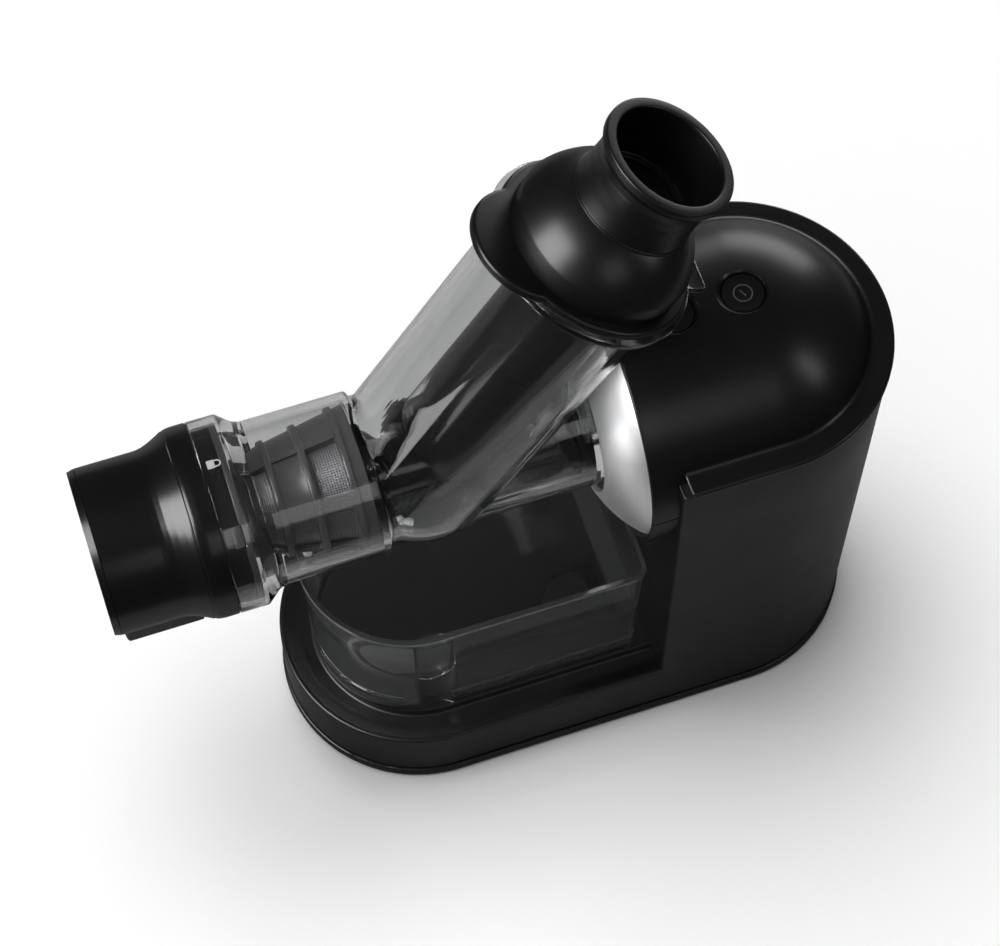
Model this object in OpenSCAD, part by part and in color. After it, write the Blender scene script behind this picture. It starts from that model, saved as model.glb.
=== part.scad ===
// Horizontal cold press juicer with an inclined feed tube.
// X runs along the juicing axis towards the motor tower, -Y is the front, +Z is up.
// The origin is the middle of the footprint on the table.

/* [Body] */
// Radius of both round ends of the body, half its width
body_r = 65; // [62:0.5:68]
// Middle of the round end of the motor tower
tower_x = 109.5; // [105:0.5:112]
// Middle of the round end of the tray
tray_x = -38; // [-42:1:-34]
// Flat face of the tower that carries the drive collar
face_x = 62; // [60:0.5:64]
// Radius of the tower's two upright edges beside the flat face
tower_edge = 2; // [1:0.25:3]
// Wall thickness of the mouldings
wall = 2.5; // [2:0.1:3]
// Height of the parting line over the base plate
seam_z = 9; // [8:0.5:10]
// Height of the tray rim
tray_z = 42; // [40:1:46]
// Height of the tray pad that the juice container stands on
pad_z = 40; // [38:0.5:41]
// Height of the parting line under the top cover
lid_z = 225.5; // [224:0.5:227]
// Overhang of the top cover's lip
lip_out = 1; // [0.5:0.1:1.2]

/* [Drive] */
// Height of the juicing axis
axis_h = 203; // [201:0.5:205]
// Radius of the round bullet housing about the juicing axis
bullet_r = 62; // [61:0.5:62]
// Free end of the drive collar
collar_x = 50; // [49:0.5:51]
// Radius of the big end of the steel cone
cone_big_r = 59.4; // [58:0.2:59.6]
// Radius of the small end of the steel cone
cone_small_r = 37; // [36.8:0.2:38]
// Length of the steel cone along the axis
cone_len = 15.5; // [14:0.5:16]
// Radius of the cone's bulging curve
cone_bow = 51; // [45:1:70]

/* [Gear train] */
// Teeth of the output gear, of the pinion that drives it, and their module
output_teeth = 60; // [60]
second_pinion_teeth = 14; // [14]
output_module = 1.25; // [1.2:0.01:1.25]
// Teeth of the second wheel, of the pinion that drives it, and their module
second_wheel_teeth = 56; // [56]
first_pinion_teeth = 14; // [14]
second_module = 1; // [0.95:0.01:1]
// Teeth of the first wheel, of the motor pinion, and their module
first_wheel_teeth = 60; // [60]
motor_pinion_teeth = 12; // [12]
first_module = 0.8; // [0.78:0.01:0.8]
// Pressure angle of all the teeth
pressure_angle = 20; // [20:1:22]
// Play between meshing flanks at the pitch circle
gear_play = 0.3; // [0.2:0.05:0.4]

/* [Juicing chamber] */
// Middle of the feed tube on the juicing axis
feed_x = -34; // [-35:0.5:-33]
// Lean of the feed tube from upright towards the tower
feed_tilt = 30; // [28:0.5:31]
// Outer radius of the feed tube and of the ball that it ends in
feed_r = 37; // [36.5:0.25:38]
// Length of the feed tube from the juicing axis to its top plate
feed_len = 149; // [146:1:152]
// Outer radius of the drum round the strainer
drum_r = 35.5; // [35:0.25:36]
// Outer radius of the drive end of the chamber
neck_r = 33; // [32.5:0.25:33]
// Outer radius of the bayonet collar that the end cap locks in
bayonet_r = 41.5; // [41:0.25:42]
// Plane where the end cap meets the bayonet collar
cap_seam_x = -123; // [-124:0.5:-122]
// Wall thickness of the clear chamber
clear_wall = 3; // [2.8:0.1:3.2]

/* [Strainer and auger] */
// Outer radius of the strainer cage
cage_r = 30; // [29.5:0.25:30.5]
// Windows round the strainer cage
cage_windows = 8; // [6:1:10]
// Radius over the auger's flights
flight_r = 26.4; // [25:0.2:26.4]
// Radius of the auger's core under the feed tube
core_r = 13; // [11:0.5:15]
// Radius of the auger's core at the outlet end
core_end_r = 20; // [17:0.5:22]
// Advance of the flight in one turn under the feed tube
feed_pitch = 44; // [36:1:50]
// Advance of the flights in one turn inside the strainer
screen_pitch = 24; // [20:1:30]

/* [End cap] */
// Radius of the cap's barrel
cap_r = 36; // [35.5:0.25:36.5]
// Free end of the cap
cap_end_x = -175.5; // [-177:0.5:-174]
// Half width of the pulp chute under the cap
chute_half = 24; // [22:0.5:25]
// Depth of the chute's floor below the juicing axis
chute_drop = 43; // [41:0.5:45]

/* [Pusher] */
// Radius of the pusher
pusher_r = 23; // [22:0.25:23.5]
// Offset of the pusher from the middle of the feed tube
pusher_shift = 7; // [6:0.5:8]
// Clearance of the pusher's saddle over the auger
pusher_gap = 0.5; // [0.4:0.1:1.5]
// Radius of the pusher's plate
plate_r = 42; // [41:0.5:43]
// Radius of the plate's finger lobe
lobe_r = 26; // [25:0.5:27]
// Distance of the lobe's middle from the tube's middle
lobe_off = 29; // [28:0.5:30]
// Radius of the dome over the plate
dome_r = 37.5; // [37:0.25:38]
// Radius of the grip's rim
grip_rim_r = 27.5; // [27:0.25:28]
// Radius of the grip's waist
grip_waist_r = 24.2; // [23.8:0.2:24.6]
// Distance of the grip's rim from the juicing axis along the tube
grip_top = 209; // [206:1:212]

/* [Juice container] */
// Radius of the container's round end at the rim, half its width
tub_r = 51; // [50:0.25:51.5]
// Middle of the container's round end
tub_x = -40; // [-41:0.5:-39]
// Square end of the container at the rim
tub_end_x = 57.5; // [56:0.5:58]
// Corner radius of the square end
tub_corner = 7; // [6.5:0.5:12]
// Height of the container's rim
tub_top = 125; // [122:1:127]
// Inward draft of the container's walls from the rim to the foot band
tub_draft = 3; // [2:0.25:3.25]
// Wall thickness of the container
tub_wall = 2; // [1.8:0.1:2.4]
// Middle of the finger pocket in the container's front
pocket_x = -44.25; // [-46:0.25:-42]
// Half width of the finger pocket and of the tongue over it
pocket_half = 9.4; // [8:0.2:10]
// Lowest point of the round tongue that hangs over the finger pocket
tongue_z = 77; // [72:1:84]

/* [Buttons] */
// Radius of the two button caps
button_r = 9; // [8.5:0.25:9.5]
// Place of the power button along the bullet
power_x = 108.8; // [106:0.2:110]
// Place of the reverse button along the bullet
reverse_x = 78; // [76:1:80]
// Travel of a button
button_travel = 1.2; // [1:0.1:1.4]

/* [Hidden] */
$fn = 96;

// Smallest overlap used to cut cleanly through a face
cut = 0.1;
// Gap between curved faces of pieces that move past each other
gap = 0.3;
// Gap of a running fit on the radius
fit = 0.05;
// Facets of the large round forms, and of the small edge roundings
fine = 128;
coarse = 48;

// Base
base_z = 2;
base_lip_z = 7;
foot_r = 8;
foot_spots = [[-70, -38], [-70, 38], [132, -38], [132, 38]];
screw_spots = [[-88, 0], [-20, -52], [-20, 52], [72, -58], [72, 58], [154, -37.2], [154, 37.2]];
boss_r = 5;
screw_r = 1.4;
screw_head_r = 3.2;
hub_r = cone_small_r + 5;
collar_nose = 1;
collar_in_r = bullet_r - 2 * collar_nose;
cord_z = 24;
cord_r = 3.6;
cord_hole_r = 6;
moat_z = 33;
moat_r = 56;
pad_r = 50.5;
rim_r = body_r - 2.8;
under_z = moat_z - wall;
pad_end_x = face_x - 6;

// Gear train, from the output gear down to the motor
second_z = axis_h - output_module * (output_teeth + second_pinion_teeth) / 2;
first_z = second_z - second_module * (second_wheel_teeth + first_pinion_teeth) / 2;
motor_z = first_z - first_module * (first_wheel_teeth + motor_pinion_teeth) / 2;
plate_front_x = 69;
plate_rear_x = 103;
plate_t = 3;
output_x = 74;
output_w = 10;
second_x = 86;
second_w = 7;
first_x = 95;
first_w = 6;
pin_r = 3;
socket_r = 12;
journal_r = 6;
post_y = 46;
post_low_z = 82;
post_high_z = 214;

// Motor
stator_x = 118;
stator_len = 28;
stator_half = 31;
rotor_r = 16.6;
motor_shaft_r = 2.5;
bracket_x = 150;
fan_x = 155;
fan_w = 7;
fan_r = 25;

// Chamber
drum_x = cap_seam_x + 20;
drum_end_x = -55.5;
chamber_end_x = 58;
end_wall_x = 36;
tube_bore = feed_r - 3.5;
collar_bore = 38.4;
lug_r = collar_bore + 1.2;
lug_deg = 20;
spout_x = -78;
spout_half = 11;
spout_z = 147;
spout_wall = 2;
mesh_r = cage_r - clear_wall + 0.5;
cage_hoops = [-96, -81.5, -65.3];
hoop_half = 1.5;
cage_start_x = cap_seam_x + 8;
cage_end_x = drum_end_x - 3.4;
mouth_tab_x = 50;
mouth_tab_half = 17;

// Auger
outlet_x = -116;
screen_end_x = -54;
drive_end_x = 33;
disc_r = 27.5;
disc_w = 2.5;
flight_crest = 24;
flight_foot = 48;
turn_step = 18;
round_points = 30;
shaft_r = 8;
hex_x = 54;
hex_len = 24;
nose_r = 5;
saddle_r = flight_r + pusher_gap;

// End cap
skirt_r = collar_bore - gap;
bush_x0 = cap_seam_x - 6;
bush_x1 = cap_seam_x + 4;
bush_r = nose_r + 2.5;

// Juice container
tub_foot_z = pad_z + 0.4;
band_z = 54;
band_in = 2.6;
tub_floor = 3;
tub_lip = 2;
pocket_r = 12.4;
pocket_y = -tub_r - 5.6;
pocket_top = tub_top - 10;

// Top cover
cover_x = 65;
lip_t = 3.5;
board_z = 243;

// ---------- helpers ----------

// Turns a profile of [radius, x] points about the juicing axis
module about_axis() {
    translate([0, 0, axis_h]) rotate([0, 90, 0]) rotate_extrude() children();
}

// Cylinder along the juicing direction from x0 to x1 at height z
module bar_x(r, x0, x1, y = 0, z = axis_h) {
    translate([x0, y, z]) rotate([0, 90, 0]) cylinder(r = r, h = x1 - x0);
}

// Ring about the juicing axis
module ring_x(r_out, r_in, x0, x1, z = axis_h) {
    translate([x0, 0, z]) rotate([0, 90, 0]) linear_extrude(x1 - x0) difference() {
        circle(r_out);
        circle(r_in);
    }
}

// Sector of a ring about the juicing axis, centred on the angle mid from the top
module sector_x(r_out, r_in, x0, x1, mid, deg) {
    translate([x0, 0, axis_h]) rotate([0, 90, 0]) rotate([0, 0, 180 - mid - deg / 2])
        rotate_extrude(angle = deg) translate([r_in, 0]) square([r_out - r_in, x1 - x0]);
}

// Carries a half profile of [distance from the middle, height] points round a racetrack:
// straight between x0 and x1, with a half turn at each end that round_left and round_right ask for
module racetrack(x0, x1, round_left = true, round_right = true) {
    translate([x0, 0, 0]) rotate([90, 0, 90]) linear_extrude(x1 - x0) {
        children();
        mirror([1, 0]) children();
    }
    if (round_left) translate([x0, 0, 0]) rotate([0, 0, 90]) rotate_extrude(angle = 180) children();
    if (round_right) translate([x1, 0, 0]) rotate([0, 0, -90]) rotate_extrude(angle = 180) children();
}

// Half profile of a plain slab
module slab(r, z0, z1) {
    translate([0, z0]) square([r, z1 - z0]);
}

// Half profile of a slab with its top edge rounded by e
module soft_slab(r, z0, z1, e) {
    slab(r - e, z0, z1);
    slab(r, z0, z1 - e);
    translate([r - e, z1 - e]) circle(e, $fn = coarse);
}

// Moves its children into the frame of the feed tube: Z along the tube from the juicing axis
module along_tube() {
    translate([feed_x, 0, axis_h]) rotate([0, feed_tilt, 0]) children();
}

function involute(a) = tan(a) - a * PI / 180;

// Half angle of a tooth at radius r, for n teeth of module m
function half_tooth(r, n, m) =
    let (pitch_r = n * m / 2, base_r = pitch_r * cos(pressure_angle))
    (90 / n) - gear_play / (2 * pitch_r) * 90 / PI
    + (involute(pressure_angle) - involute(acos(min(1, base_r / r)))) * 180 / PI;

// Outline of a spur gear with involute flanks, one tooth centred on the 2D X axis
module gear_outline(n, m) {
    pitch_r = n * m / 2;
    tip_r = pitch_r + 0.95 * m;
    root_r = pitch_r - 1.25 * m;
    flank_r = max(root_r, pitch_r * cos(pressure_angle));
    root_half = half_tooth(flank_r, n, m);
    pitch_half = half_tooth(pitch_r, n, m);
    tip_half = half_tooth(tip_r, n, m);
    polygon([for (i = [0:n - 1], p = [
        [root_r, -root_half], [pitch_r, -pitch_half], [tip_r, -tip_half],
        [tip_r, tip_half], [pitch_r, pitch_half], [root_r, root_half]
    ]) p[0] * [cos(i * 360 / n + p[1]), sin(i * 360 / n + p[1])]]);
}

// Spur gear on a shaft along X, bored to bore_r and turned by phase
module spur(n, m, x0, w, z, bore_r, phase = 0) {
    translate([x0, 0, z]) rotate([0, 90, 0]) rotate([0, 0, phase]) linear_extrude(w) difference() {
        gear_outline(n, m);
        circle(bore_r);
    }
}

// ---------- body ----------

// Space inside the body, from the base plate up to the tray's underside and up the tower
module body_space() {
    racetrack(tray_x, tower_x) slab(body_r - wall, seam_z - cut, under_z);
    racetrack(face_x + wall, tower_x, round_left = false)
        slab(body_r - wall, under_z - cut, lid_z + cut);
}

// Recess of the tray: a moat with a sloping outer wall
module tray_recess() {
    racetrack(tray_x, face_x, round_right = false)
        polygon([[0, moat_z], [moat_r, moat_z], [rim_r, tray_z + cut], [0, tray_z + cut]]);
}

// Pad in the tray, hollow underneath
module tray_pad() {
    difference() {
        racetrack(tray_x, pad_end_x, round_right = false) slab(pad_r, under_z, pad_z);
        racetrack(tray_x, pad_end_x - wall, round_right = false)
            slab(pad_r - wall, under_z - cut, pad_z - wall);
    }
}

// Plan of the tower: a half disc to the right, and a flat face to the left with round corners
module tower_plan() {
    e = tower_edge;
    translate([face_x + e, -body_r]) square([tower_x - face_x - e, 2 * body_r]);
    translate([face_x, e - body_r]) square([e + cut, 2 * (body_r - e)]);
    for (s = [-1, 1]) translate([face_x + e, s * (body_r - e)]) circle(e, $fn = coarse);
    intersection() {
        translate([tower_x, 0]) circle(body_r);
        translate([tower_x - cut, -body_r]) square(2 * body_r);
    }
}

// Profile of the hollow collar that the cone sits in
module collar_profile() {
    translate([collar_in_r, collar_x + collar_nose])
        square([2 * collar_nose, face_x - collar_x - collar_nose]);
    translate([bullet_r - collar_nose, collar_x + collar_nose]) circle(collar_nose, $fn = coarse);
    translate([hub_r, collar_x + 4]) square([bullet_r - collar_nose - hub_r, wall]);
}

module lower_housing() {
    color([0.06, 0.06, 0.065]) {
        difference() {
            union() {
                racetrack(tray_x, tower_x) soft_slab(body_r, seam_z, tray_z, 1.2);
                translate([0, 0, tray_z - 2]) linear_extrude(lid_z - tray_z + 2) tower_plan();
            }
            body_space();
            tray_recess();
            // passage of the drive through the flat face, inside the collar
            bar_x(hub_r, face_x - cut, face_x + wall + cut);
            // way in for the cord, low in the round end
            bar_x(cord_hole_r, tower_x + body_r - wall - 2, tower_x + body_r + cut, z = cord_z);
        }
        tray_pad();
        // lower half of the collar
        intersection() {
            about_axis() collar_profile();
            translate([collar_x - 1, -bullet_r - 1, axis_h - bullet_r - 1])
                cube([face_x - collar_x + 1, 2 * bullet_r + 2, bullet_r + 1]);
        }
        // screw bosses under the tray and in the tower
        for (s = screw_spots) translate([s[0], s[1], seam_z + 1]) difference() {
            cylinder(r = boss_r, h = under_z - seam_z - 1 + (s[0] < face_x ? cut : 0));
            translate([0, 0, -cut]) cylinder(r = screw_r + 0.1, h = 14);
        }
        // bosses that carry the front gear plate
        for (y = [-post_y, post_y], z = [post_low_z, post_high_z])
            bar_x(boss_r, face_x + wall - cut, plate_front_x, y, z);
    }
}

// Solid form of the bullet: a cylinder about the axis that ends in a ball
module bullet(r, x0) {
    bar_x(r, x0, tower_x);
    translate([tower_x, 0, axis_h]) sphere(r, $fn = fine);
}

// Round well for a button through the top of the bullet, with a bevelled mouth
module button_well(x) {
    translate([x, 0, axis_h + bullet_r - 14]) cylinder(r = button_r + gap, h = 20);
    translate([x, 0, axis_h + bullet_r - 1.8])
        cylinder(r1 = button_r + gap, r2 = button_r + gap + 2, h = 2.4);
}

// Sleeve that guides a button below the bullet's shell
module button_sleeve(x) {
    translate([x, 0, axis_h + bullet_r - 9]) difference() {
        cylinder(r = button_r + gap + 1.6, h = 6);
        translate([0, 0, -cut]) cylinder(r = button_r + gap, h = 9);
    }
}

// Fillet between the bullet and the top of the cover's lip
module cover_fillet() {
    f = 4;
    z = lid_z + lip_t - cut;
    mid = [sqrt(pow(bullet_r + f, 2) - pow(z + f - axis_h, 2)), z + f];
    foot = [0, axis_h] + (mid - [0, axis_h]) * (bullet_r - 1) / (bullet_r + f);
    racetrack(cover_x, tower_x, round_left = false) difference() {
        polygon([[foot[0], z - cut], [mid[0], z - cut], mid, foot]);
        translate(mid) circle(f, $fn = 64);
    }
}

module top_cover() {
    color([0.06, 0.06, 0.065]) {
        difference() {
            union() {
                intersection() {
                    bullet(bullet_r, face_x);
                    translate([face_x, -100, lid_z]) cube([200, 200, 100]);
                }
                racetrack(cover_x, tower_x, round_left = false)
                    soft_slab(body_r + lip_out, lid_z, lid_z + lip_t, 1.4);
                cover_fillet();
            }
            bullet(bullet_r - wall, face_x - cut);
            for (x = [power_x, reverse_x]) button_well(x);
        }
        // upper half of the collar
        intersection() {
            about_axis() collar_profile();
            translate([collar_x - 1, -bullet_r - 1, axis_h])
                cube([face_x - collar_x + 1, 2 * bullet_r + 2, bullet_r + 1]);
        }
        for (x = [power_x, reverse_x]) button_sleeve(x);
    }
}

module base_plate() {
    color([0.05, 0.05, 0.055]) difference() {
        racetrack(tray_x, tower_x) {
            soft_slab(body_r + lip_out, base_z, base_lip_z, 1);
            slab(body_r - 1.5, base_z, seam_z);
        }
        racetrack(tray_x, tower_x) slab(body_r - 5, base_z + wall, seam_z + cut);
        for (s = foot_spots) translate([s[0], s[1], base_z - cut]) cylinder(r = foot_r, h = 1.1);
        for (s = screw_spots) translate([s[0], s[1], base_z - cut]) {
            cylinder(r = screw_r + 0.4, h = 5);
            cylinder(r = screw_head_r + 0.2, h = 1.4);
        }
        // air slots under the motor
        for (i = [-5:5]) translate([tower_x + i * 6 - 1.25, -24, base_z - cut])
            cube([2.5, 48, wall + 1]);
    }
    // pillars that carry the screw bosses
    color([0.05, 0.05, 0.055]) for (s = screw_spots) translate([s[0], s[1], base_z + wall])
        difference() {
            cylinder(r = boss_r - 1, h = seam_z + 1 - base_z - wall);
            translate([0, 0, -cut]) cylinder(r = screw_r + 0.4, h = 10);
        }
}

module rubber_feet() {
    color([0.1, 0.1, 0.1]) for (s = foot_spots) translate([s[0], s[1], 0]) {
        cylinder(r = foot_r, h = base_z + 1);
    }
}

module base_screws() {
    color([0.6, 0.6, 0.62]) for (s = screw_spots) translate([s[0], s[1], base_z + 0.1]) {
        cylinder(r = screw_head_r, h = 1.2);
        cylinder(r = screw_r, h = 18);
    }
}

// Thin steel dish between the clear chamber and the collar. Its face is a circular arc that
// bulges towards the chamber, with a sleeve at the small end and a short rim at the big end.
module steel_cone() {
    sheet = 1.2;
    big_x = collar_x + 3.9;
    small = [cone_small_r, big_x - cone_len];
    big = [cone_big_r, big_x - 1.6];
    chord = big - small;
    reach = sqrt(pow(cone_bow, 2) - pow(norm(chord) / 2, 2)) / norm(chord);
    mid = (small + big) / 2 + reach * [-chord[1], chord[0]];
    color([0.75, 0.76, 0.78]) about_axis() {
        intersection() {
            difference() {
                translate(mid) circle(cone_bow, $fn = fine);
                translate(mid) circle(cone_bow - sheet, $fn = fine);
            }
            polygon([mid, mid + 1.1 * (small - mid), mid + 1.1 * (big - mid)]);
        }
        translate([cone_small_r - 0.5, small[1] + 0.8]) square([sheet, 4.2]);
        translate([cone_big_r - sheet, big[1]]) square([sheet, 1.6]);
    }
}

// Socket that the chamber's drive end turns and locks in
module chamber_hub() {
    color([0.08, 0.08, 0.085]) difference() {
        union() {
            bar_x(cone_small_r - 0.9, collar_x - 10.4, face_x - cut);
            bar_x(hub_r, collar_x - 4, face_x + wall);
        }
        bar_x(neck_r + gap, collar_x - 11, face_x + wall + cut);
        // groove for the chamber's lugs, and the three ways into it
        ring_x(neck_r + 3.2, neck_r, collar_x - 1, collar_x + 5);
        for (a = [40:120:280]) sector_x(neck_r + 3.6, neck_r, collar_x - 12, collar_x, a, 22);
    }
}

module shaft_seal() {
    color([0.15, 0.15, 0.16]) {
        ring_x(neck_r + gap, 17, face_x, face_x + wall);
        ring_x(20, socket_r + fit, face_x, plate_front_x - 0.2);
    }
}

// ---------- drive ----------

// Plate with rounded corners across the juicing direction, with the holes of the gear train
module gear_plate(x0, high_bore, low_bore) {
    translate([x0, 0, 0]) rotate([90, 0, 90]) linear_extrude(plate_t) difference() {
        union() {
            translate([-post_y - 6, post_low_z - 12])
                square([2 * post_y + 12, post_high_z - post_low_z + 18]);
            translate([-24, post_high_z]) square([48, 24]);
        }
        translate([0, axis_h]) circle(high_bore);
        for (z = [second_z, first_z]) translate([0, z]) circle(pin_r);
        translate([0, motor_z]) circle(low_bore);
        for (y = [-post_y, post_y], z = [post_low_z, post_high_z]) translate([y, z]) circle(2);
    }
}

module front_gear_plate() {
    color([0.7, 0.7, 0.72]) gear_plate(plate_front_x, socket_r + 4, 4);
}

module rear_gear_plate() {
    color([0.7, 0.7, 0.72]) {
        gear_plate(plate_rear_x, journal_r + 4, 7);
        // stand-offs that hold the motor
        for (y = [-1, 1], z = [-1, 1])
            bar_x(4, plate_rear_x + plate_t, stator_x, y * (stator_half - 6),
                motor_z + z * (stator_half - 6));
    }
}

module plate_posts() {
    color([0.65, 0.65, 0.67]) for (y = [-post_y, post_y], z = [post_low_z, post_high_z])
        bar_x(4, plate_front_x + plate_t, plate_rear_x, y, z);
}

module drive_bearings() {
    color([0.72, 0.6, 0.35]) {
        ring_x(socket_r + 4, socket_r + fit, plate_front_x - 0.2, plate_front_x + plate_t + 1);
        ring_x(journal_r + 4, journal_r + fit, plate_rear_x - 1, plate_rear_x + plate_t + 1);
        ring_x(7, motor_shaft_r + fit, plate_rear_x, plate_rear_x + plate_t + 2, z = motor_z);
    }
}

module layshaft_pins() {
    color([0.7, 0.7, 0.72]) for (z = [second_z, first_z])
        bar_x(pin_r, plate_front_x, plate_rear_x + plate_t, z = z);
}

module output_gear() {
    color([0.85, 0.83, 0.78]) difference() {
        spur(output_teeth, output_module, output_x, output_w, axis_h, socket_r);
        for (a = [0:60:300]) translate([output_x + 3, 0, axis_h]) rotate([a, 0, 0])
            bar_x(6, 0, output_w, 0, 25);
    }
}

// Turned by half a tooth where its neighbour shows a tooth on the line of centres
module second_gear() {
    color([0.85, 0.83, 0.78]) {
        spur(second_pinion_teeth, output_module, output_x - 1, second_x - output_x + 1 + cut,
            second_z, pin_r + fit, 180 / second_pinion_teeth);
        spur(second_wheel_teeth, second_module, second_x, second_w, second_z, pin_r + fit);
    }
}

module first_gear() {
    color([0.85, 0.83, 0.78]) {
        spur(first_pinion_teeth, second_module, second_x - 1, first_x - second_x + 1 + cut,
            first_z, pin_r + fit, 180 / first_pinion_teeth);
        spur(first_wheel_teeth, first_module, first_x, first_w, first_z, pin_r + fit);
    }
}

// Rotor pack with its shaft and the cut motor pinion
module motor_rotor() {
    color([0.6, 0.6, 0.62]) {
        bar_x(motor_shaft_r, first_x + first_w, 164, z = motor_z);
        bar_x(rotor_r, stator_x - 1, stator_x + stator_len + 1, z = motor_z);
        translate([first_x - 1, 0, motor_z]) rotate([0, 90, 0])
            rotate([0, 0, 180 / motor_pinion_teeth])
            linear_extrude(first_w + 2) gear_outline(motor_pinion_teeth, first_module);
    }
}

// Laminated stator with two coils on its sides
module motor_stator() {
    color([0.4, 0.4, 0.42]) difference() {
        translate([stator_x, -stator_half, motor_z - stator_half])
            cube([stator_len, 2 * stator_half, 2 * stator_half]);
        bar_x(rotor_r + 0.5, stator_x - cut, stator_x + stator_len + cut, z = motor_z);
        for (y = [-1, 1]) translate([stator_x - cut, y * 23 - 3, motor_z - 17])
            cube([stator_len + 2 * cut, 6, 34]);
    }
    color([0.7, 0.4, 0.2]) for (y = [-1, 1])
        translate([stator_x - 6, y * 23 - 3, motor_z - 17]) cube([stator_len + 9, 6, 34]);
}

module motor_bracket() {
    color([0.65, 0.65, 0.67]) {
        difference() {
            translate([bracket_x, -stator_half, motor_z - 9]) cube([2, 2 * stator_half, 18]);
            bar_x(motor_shaft_r + fit, bracket_x - cut, bracket_x + 2 + cut, z = motor_z);
        }
        for (y = [-1, 1]) translate([stator_x + stator_len, y * (stator_half - 2) - 2, motor_z - 9])
            cube([bracket_x - stator_x - stator_len + cut, 4, 18]);
    }
}

// Fan with flat raked blades round a hub
module cooling_fan() {
    color([0.12, 0.12, 0.13]) difference() {
        union() {
            bar_x(7, fan_x, fan_x + fan_w, z = motor_z);
            for (a = [0:40:320]) translate([fan_x + fan_w / 2, 0, motor_z]) rotate([a, 0, 0])
                rotate([0, 0, 35]) translate([-4, -0.6, 5]) cube([8, 1.2, fan_r - 5.5]);
        }
        bar_x(motor_shaft_r, fan_x - 3, fan_x + fan_w + 3, z = motor_z);
    }
}

module control_board() {
    color([0.1, 0.3, 0.18]) translate([66, -16, board_z]) cube([54, 32, 1.6]);
    color([0.12, 0.12, 0.13]) translate([88, -13, board_z - 9]) cube([12, 18, 9]);
    // pillar that carries the board on the front gear plate
    color([0.12, 0.12, 0.13]) translate([plate_front_x, -14, post_high_z + 24])
        cube([plate_t, 28, board_z - post_high_z - 24]);
}

module tact_switches() {
    color([0.2, 0.2, 0.22]) for (x = [power_x, reverse_x])
        translate([x, 0, board_z + 1.6]) {
            translate([-3, -3, 0]) cube([6, 6, 3.4]);
            cylinder(r = 1.7, h = 4.4);
        }
}

module cord_grommet() {
    color([0.12, 0.12, 0.12]) {
        inside_x = tower_x + body_r - wall - 1.4;
        ring_x(cord_hole_r, cord_r, inside_x, tower_x + body_r, z = cord_z);
        ring_x(cord_hole_r + 2.5, cord_r, inside_x - 3.1, inside_x, z = cord_z);
    }
}

// ---------- chamber ----------

// Outer form of the chamber's turned part: bayonet collar, drum, neck
module chamber_outer() {
    step = 1.5;
    about_axis() polygon([
        [0, cap_seam_x], [bayonet_r, cap_seam_x], [bayonet_r, cap_seam_x + 12.5],
        [bayonet_r - step, cap_seam_x + 14.2], [drum_r + 1.6, cap_seam_x + 18],
        [drum_r, drum_x], [drum_r, drum_end_x - step], [drum_r - step, drum_end_x],
        [neck_r, drum_end_x + 1.2], [neck_r, chamber_end_x], [0, chamber_end_x]
    ]);
}

// Hollow of the turned part
module chamber_inner() {
    drum_bore = drum_r - clear_wall;
    about_axis() polygon([
        [0, cap_seam_x - cut], [collar_bore, cap_seam_x - cut], [collar_bore, cap_seam_x + 11],
        [drum_bore, cap_seam_x + 11], [drum_bore, drum_end_x - clear_wall],
        [neck_r - clear_wall, drum_end_x - clear_wall], [neck_r - clear_wall, end_wall_x],
        [0, end_wall_x]
    ]);
}

// Tube that starts in a half ball about its own foot
module ball_tube(r, top) {
    rotate_extrude($fn = fine) {
        intersection() {
            circle(r);
            translate([0, -r]) square(r);
        }
        square([r, top]);
    }
}

// Plate round the mouth of the feed tube, with a square tab towards the tower
module mouth_outline() {
    circle(feed_r + 7);
    difference() {
        translate([0, -mouth_tab_half]) square([mouth_tab_x, 2 * mouth_tab_half]);
        for (s = [-1, 1]) translate([mouth_tab_x, s * mouth_tab_half]) rotate([0, 0, 45])
            square(4, center = true);
    }
}

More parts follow.
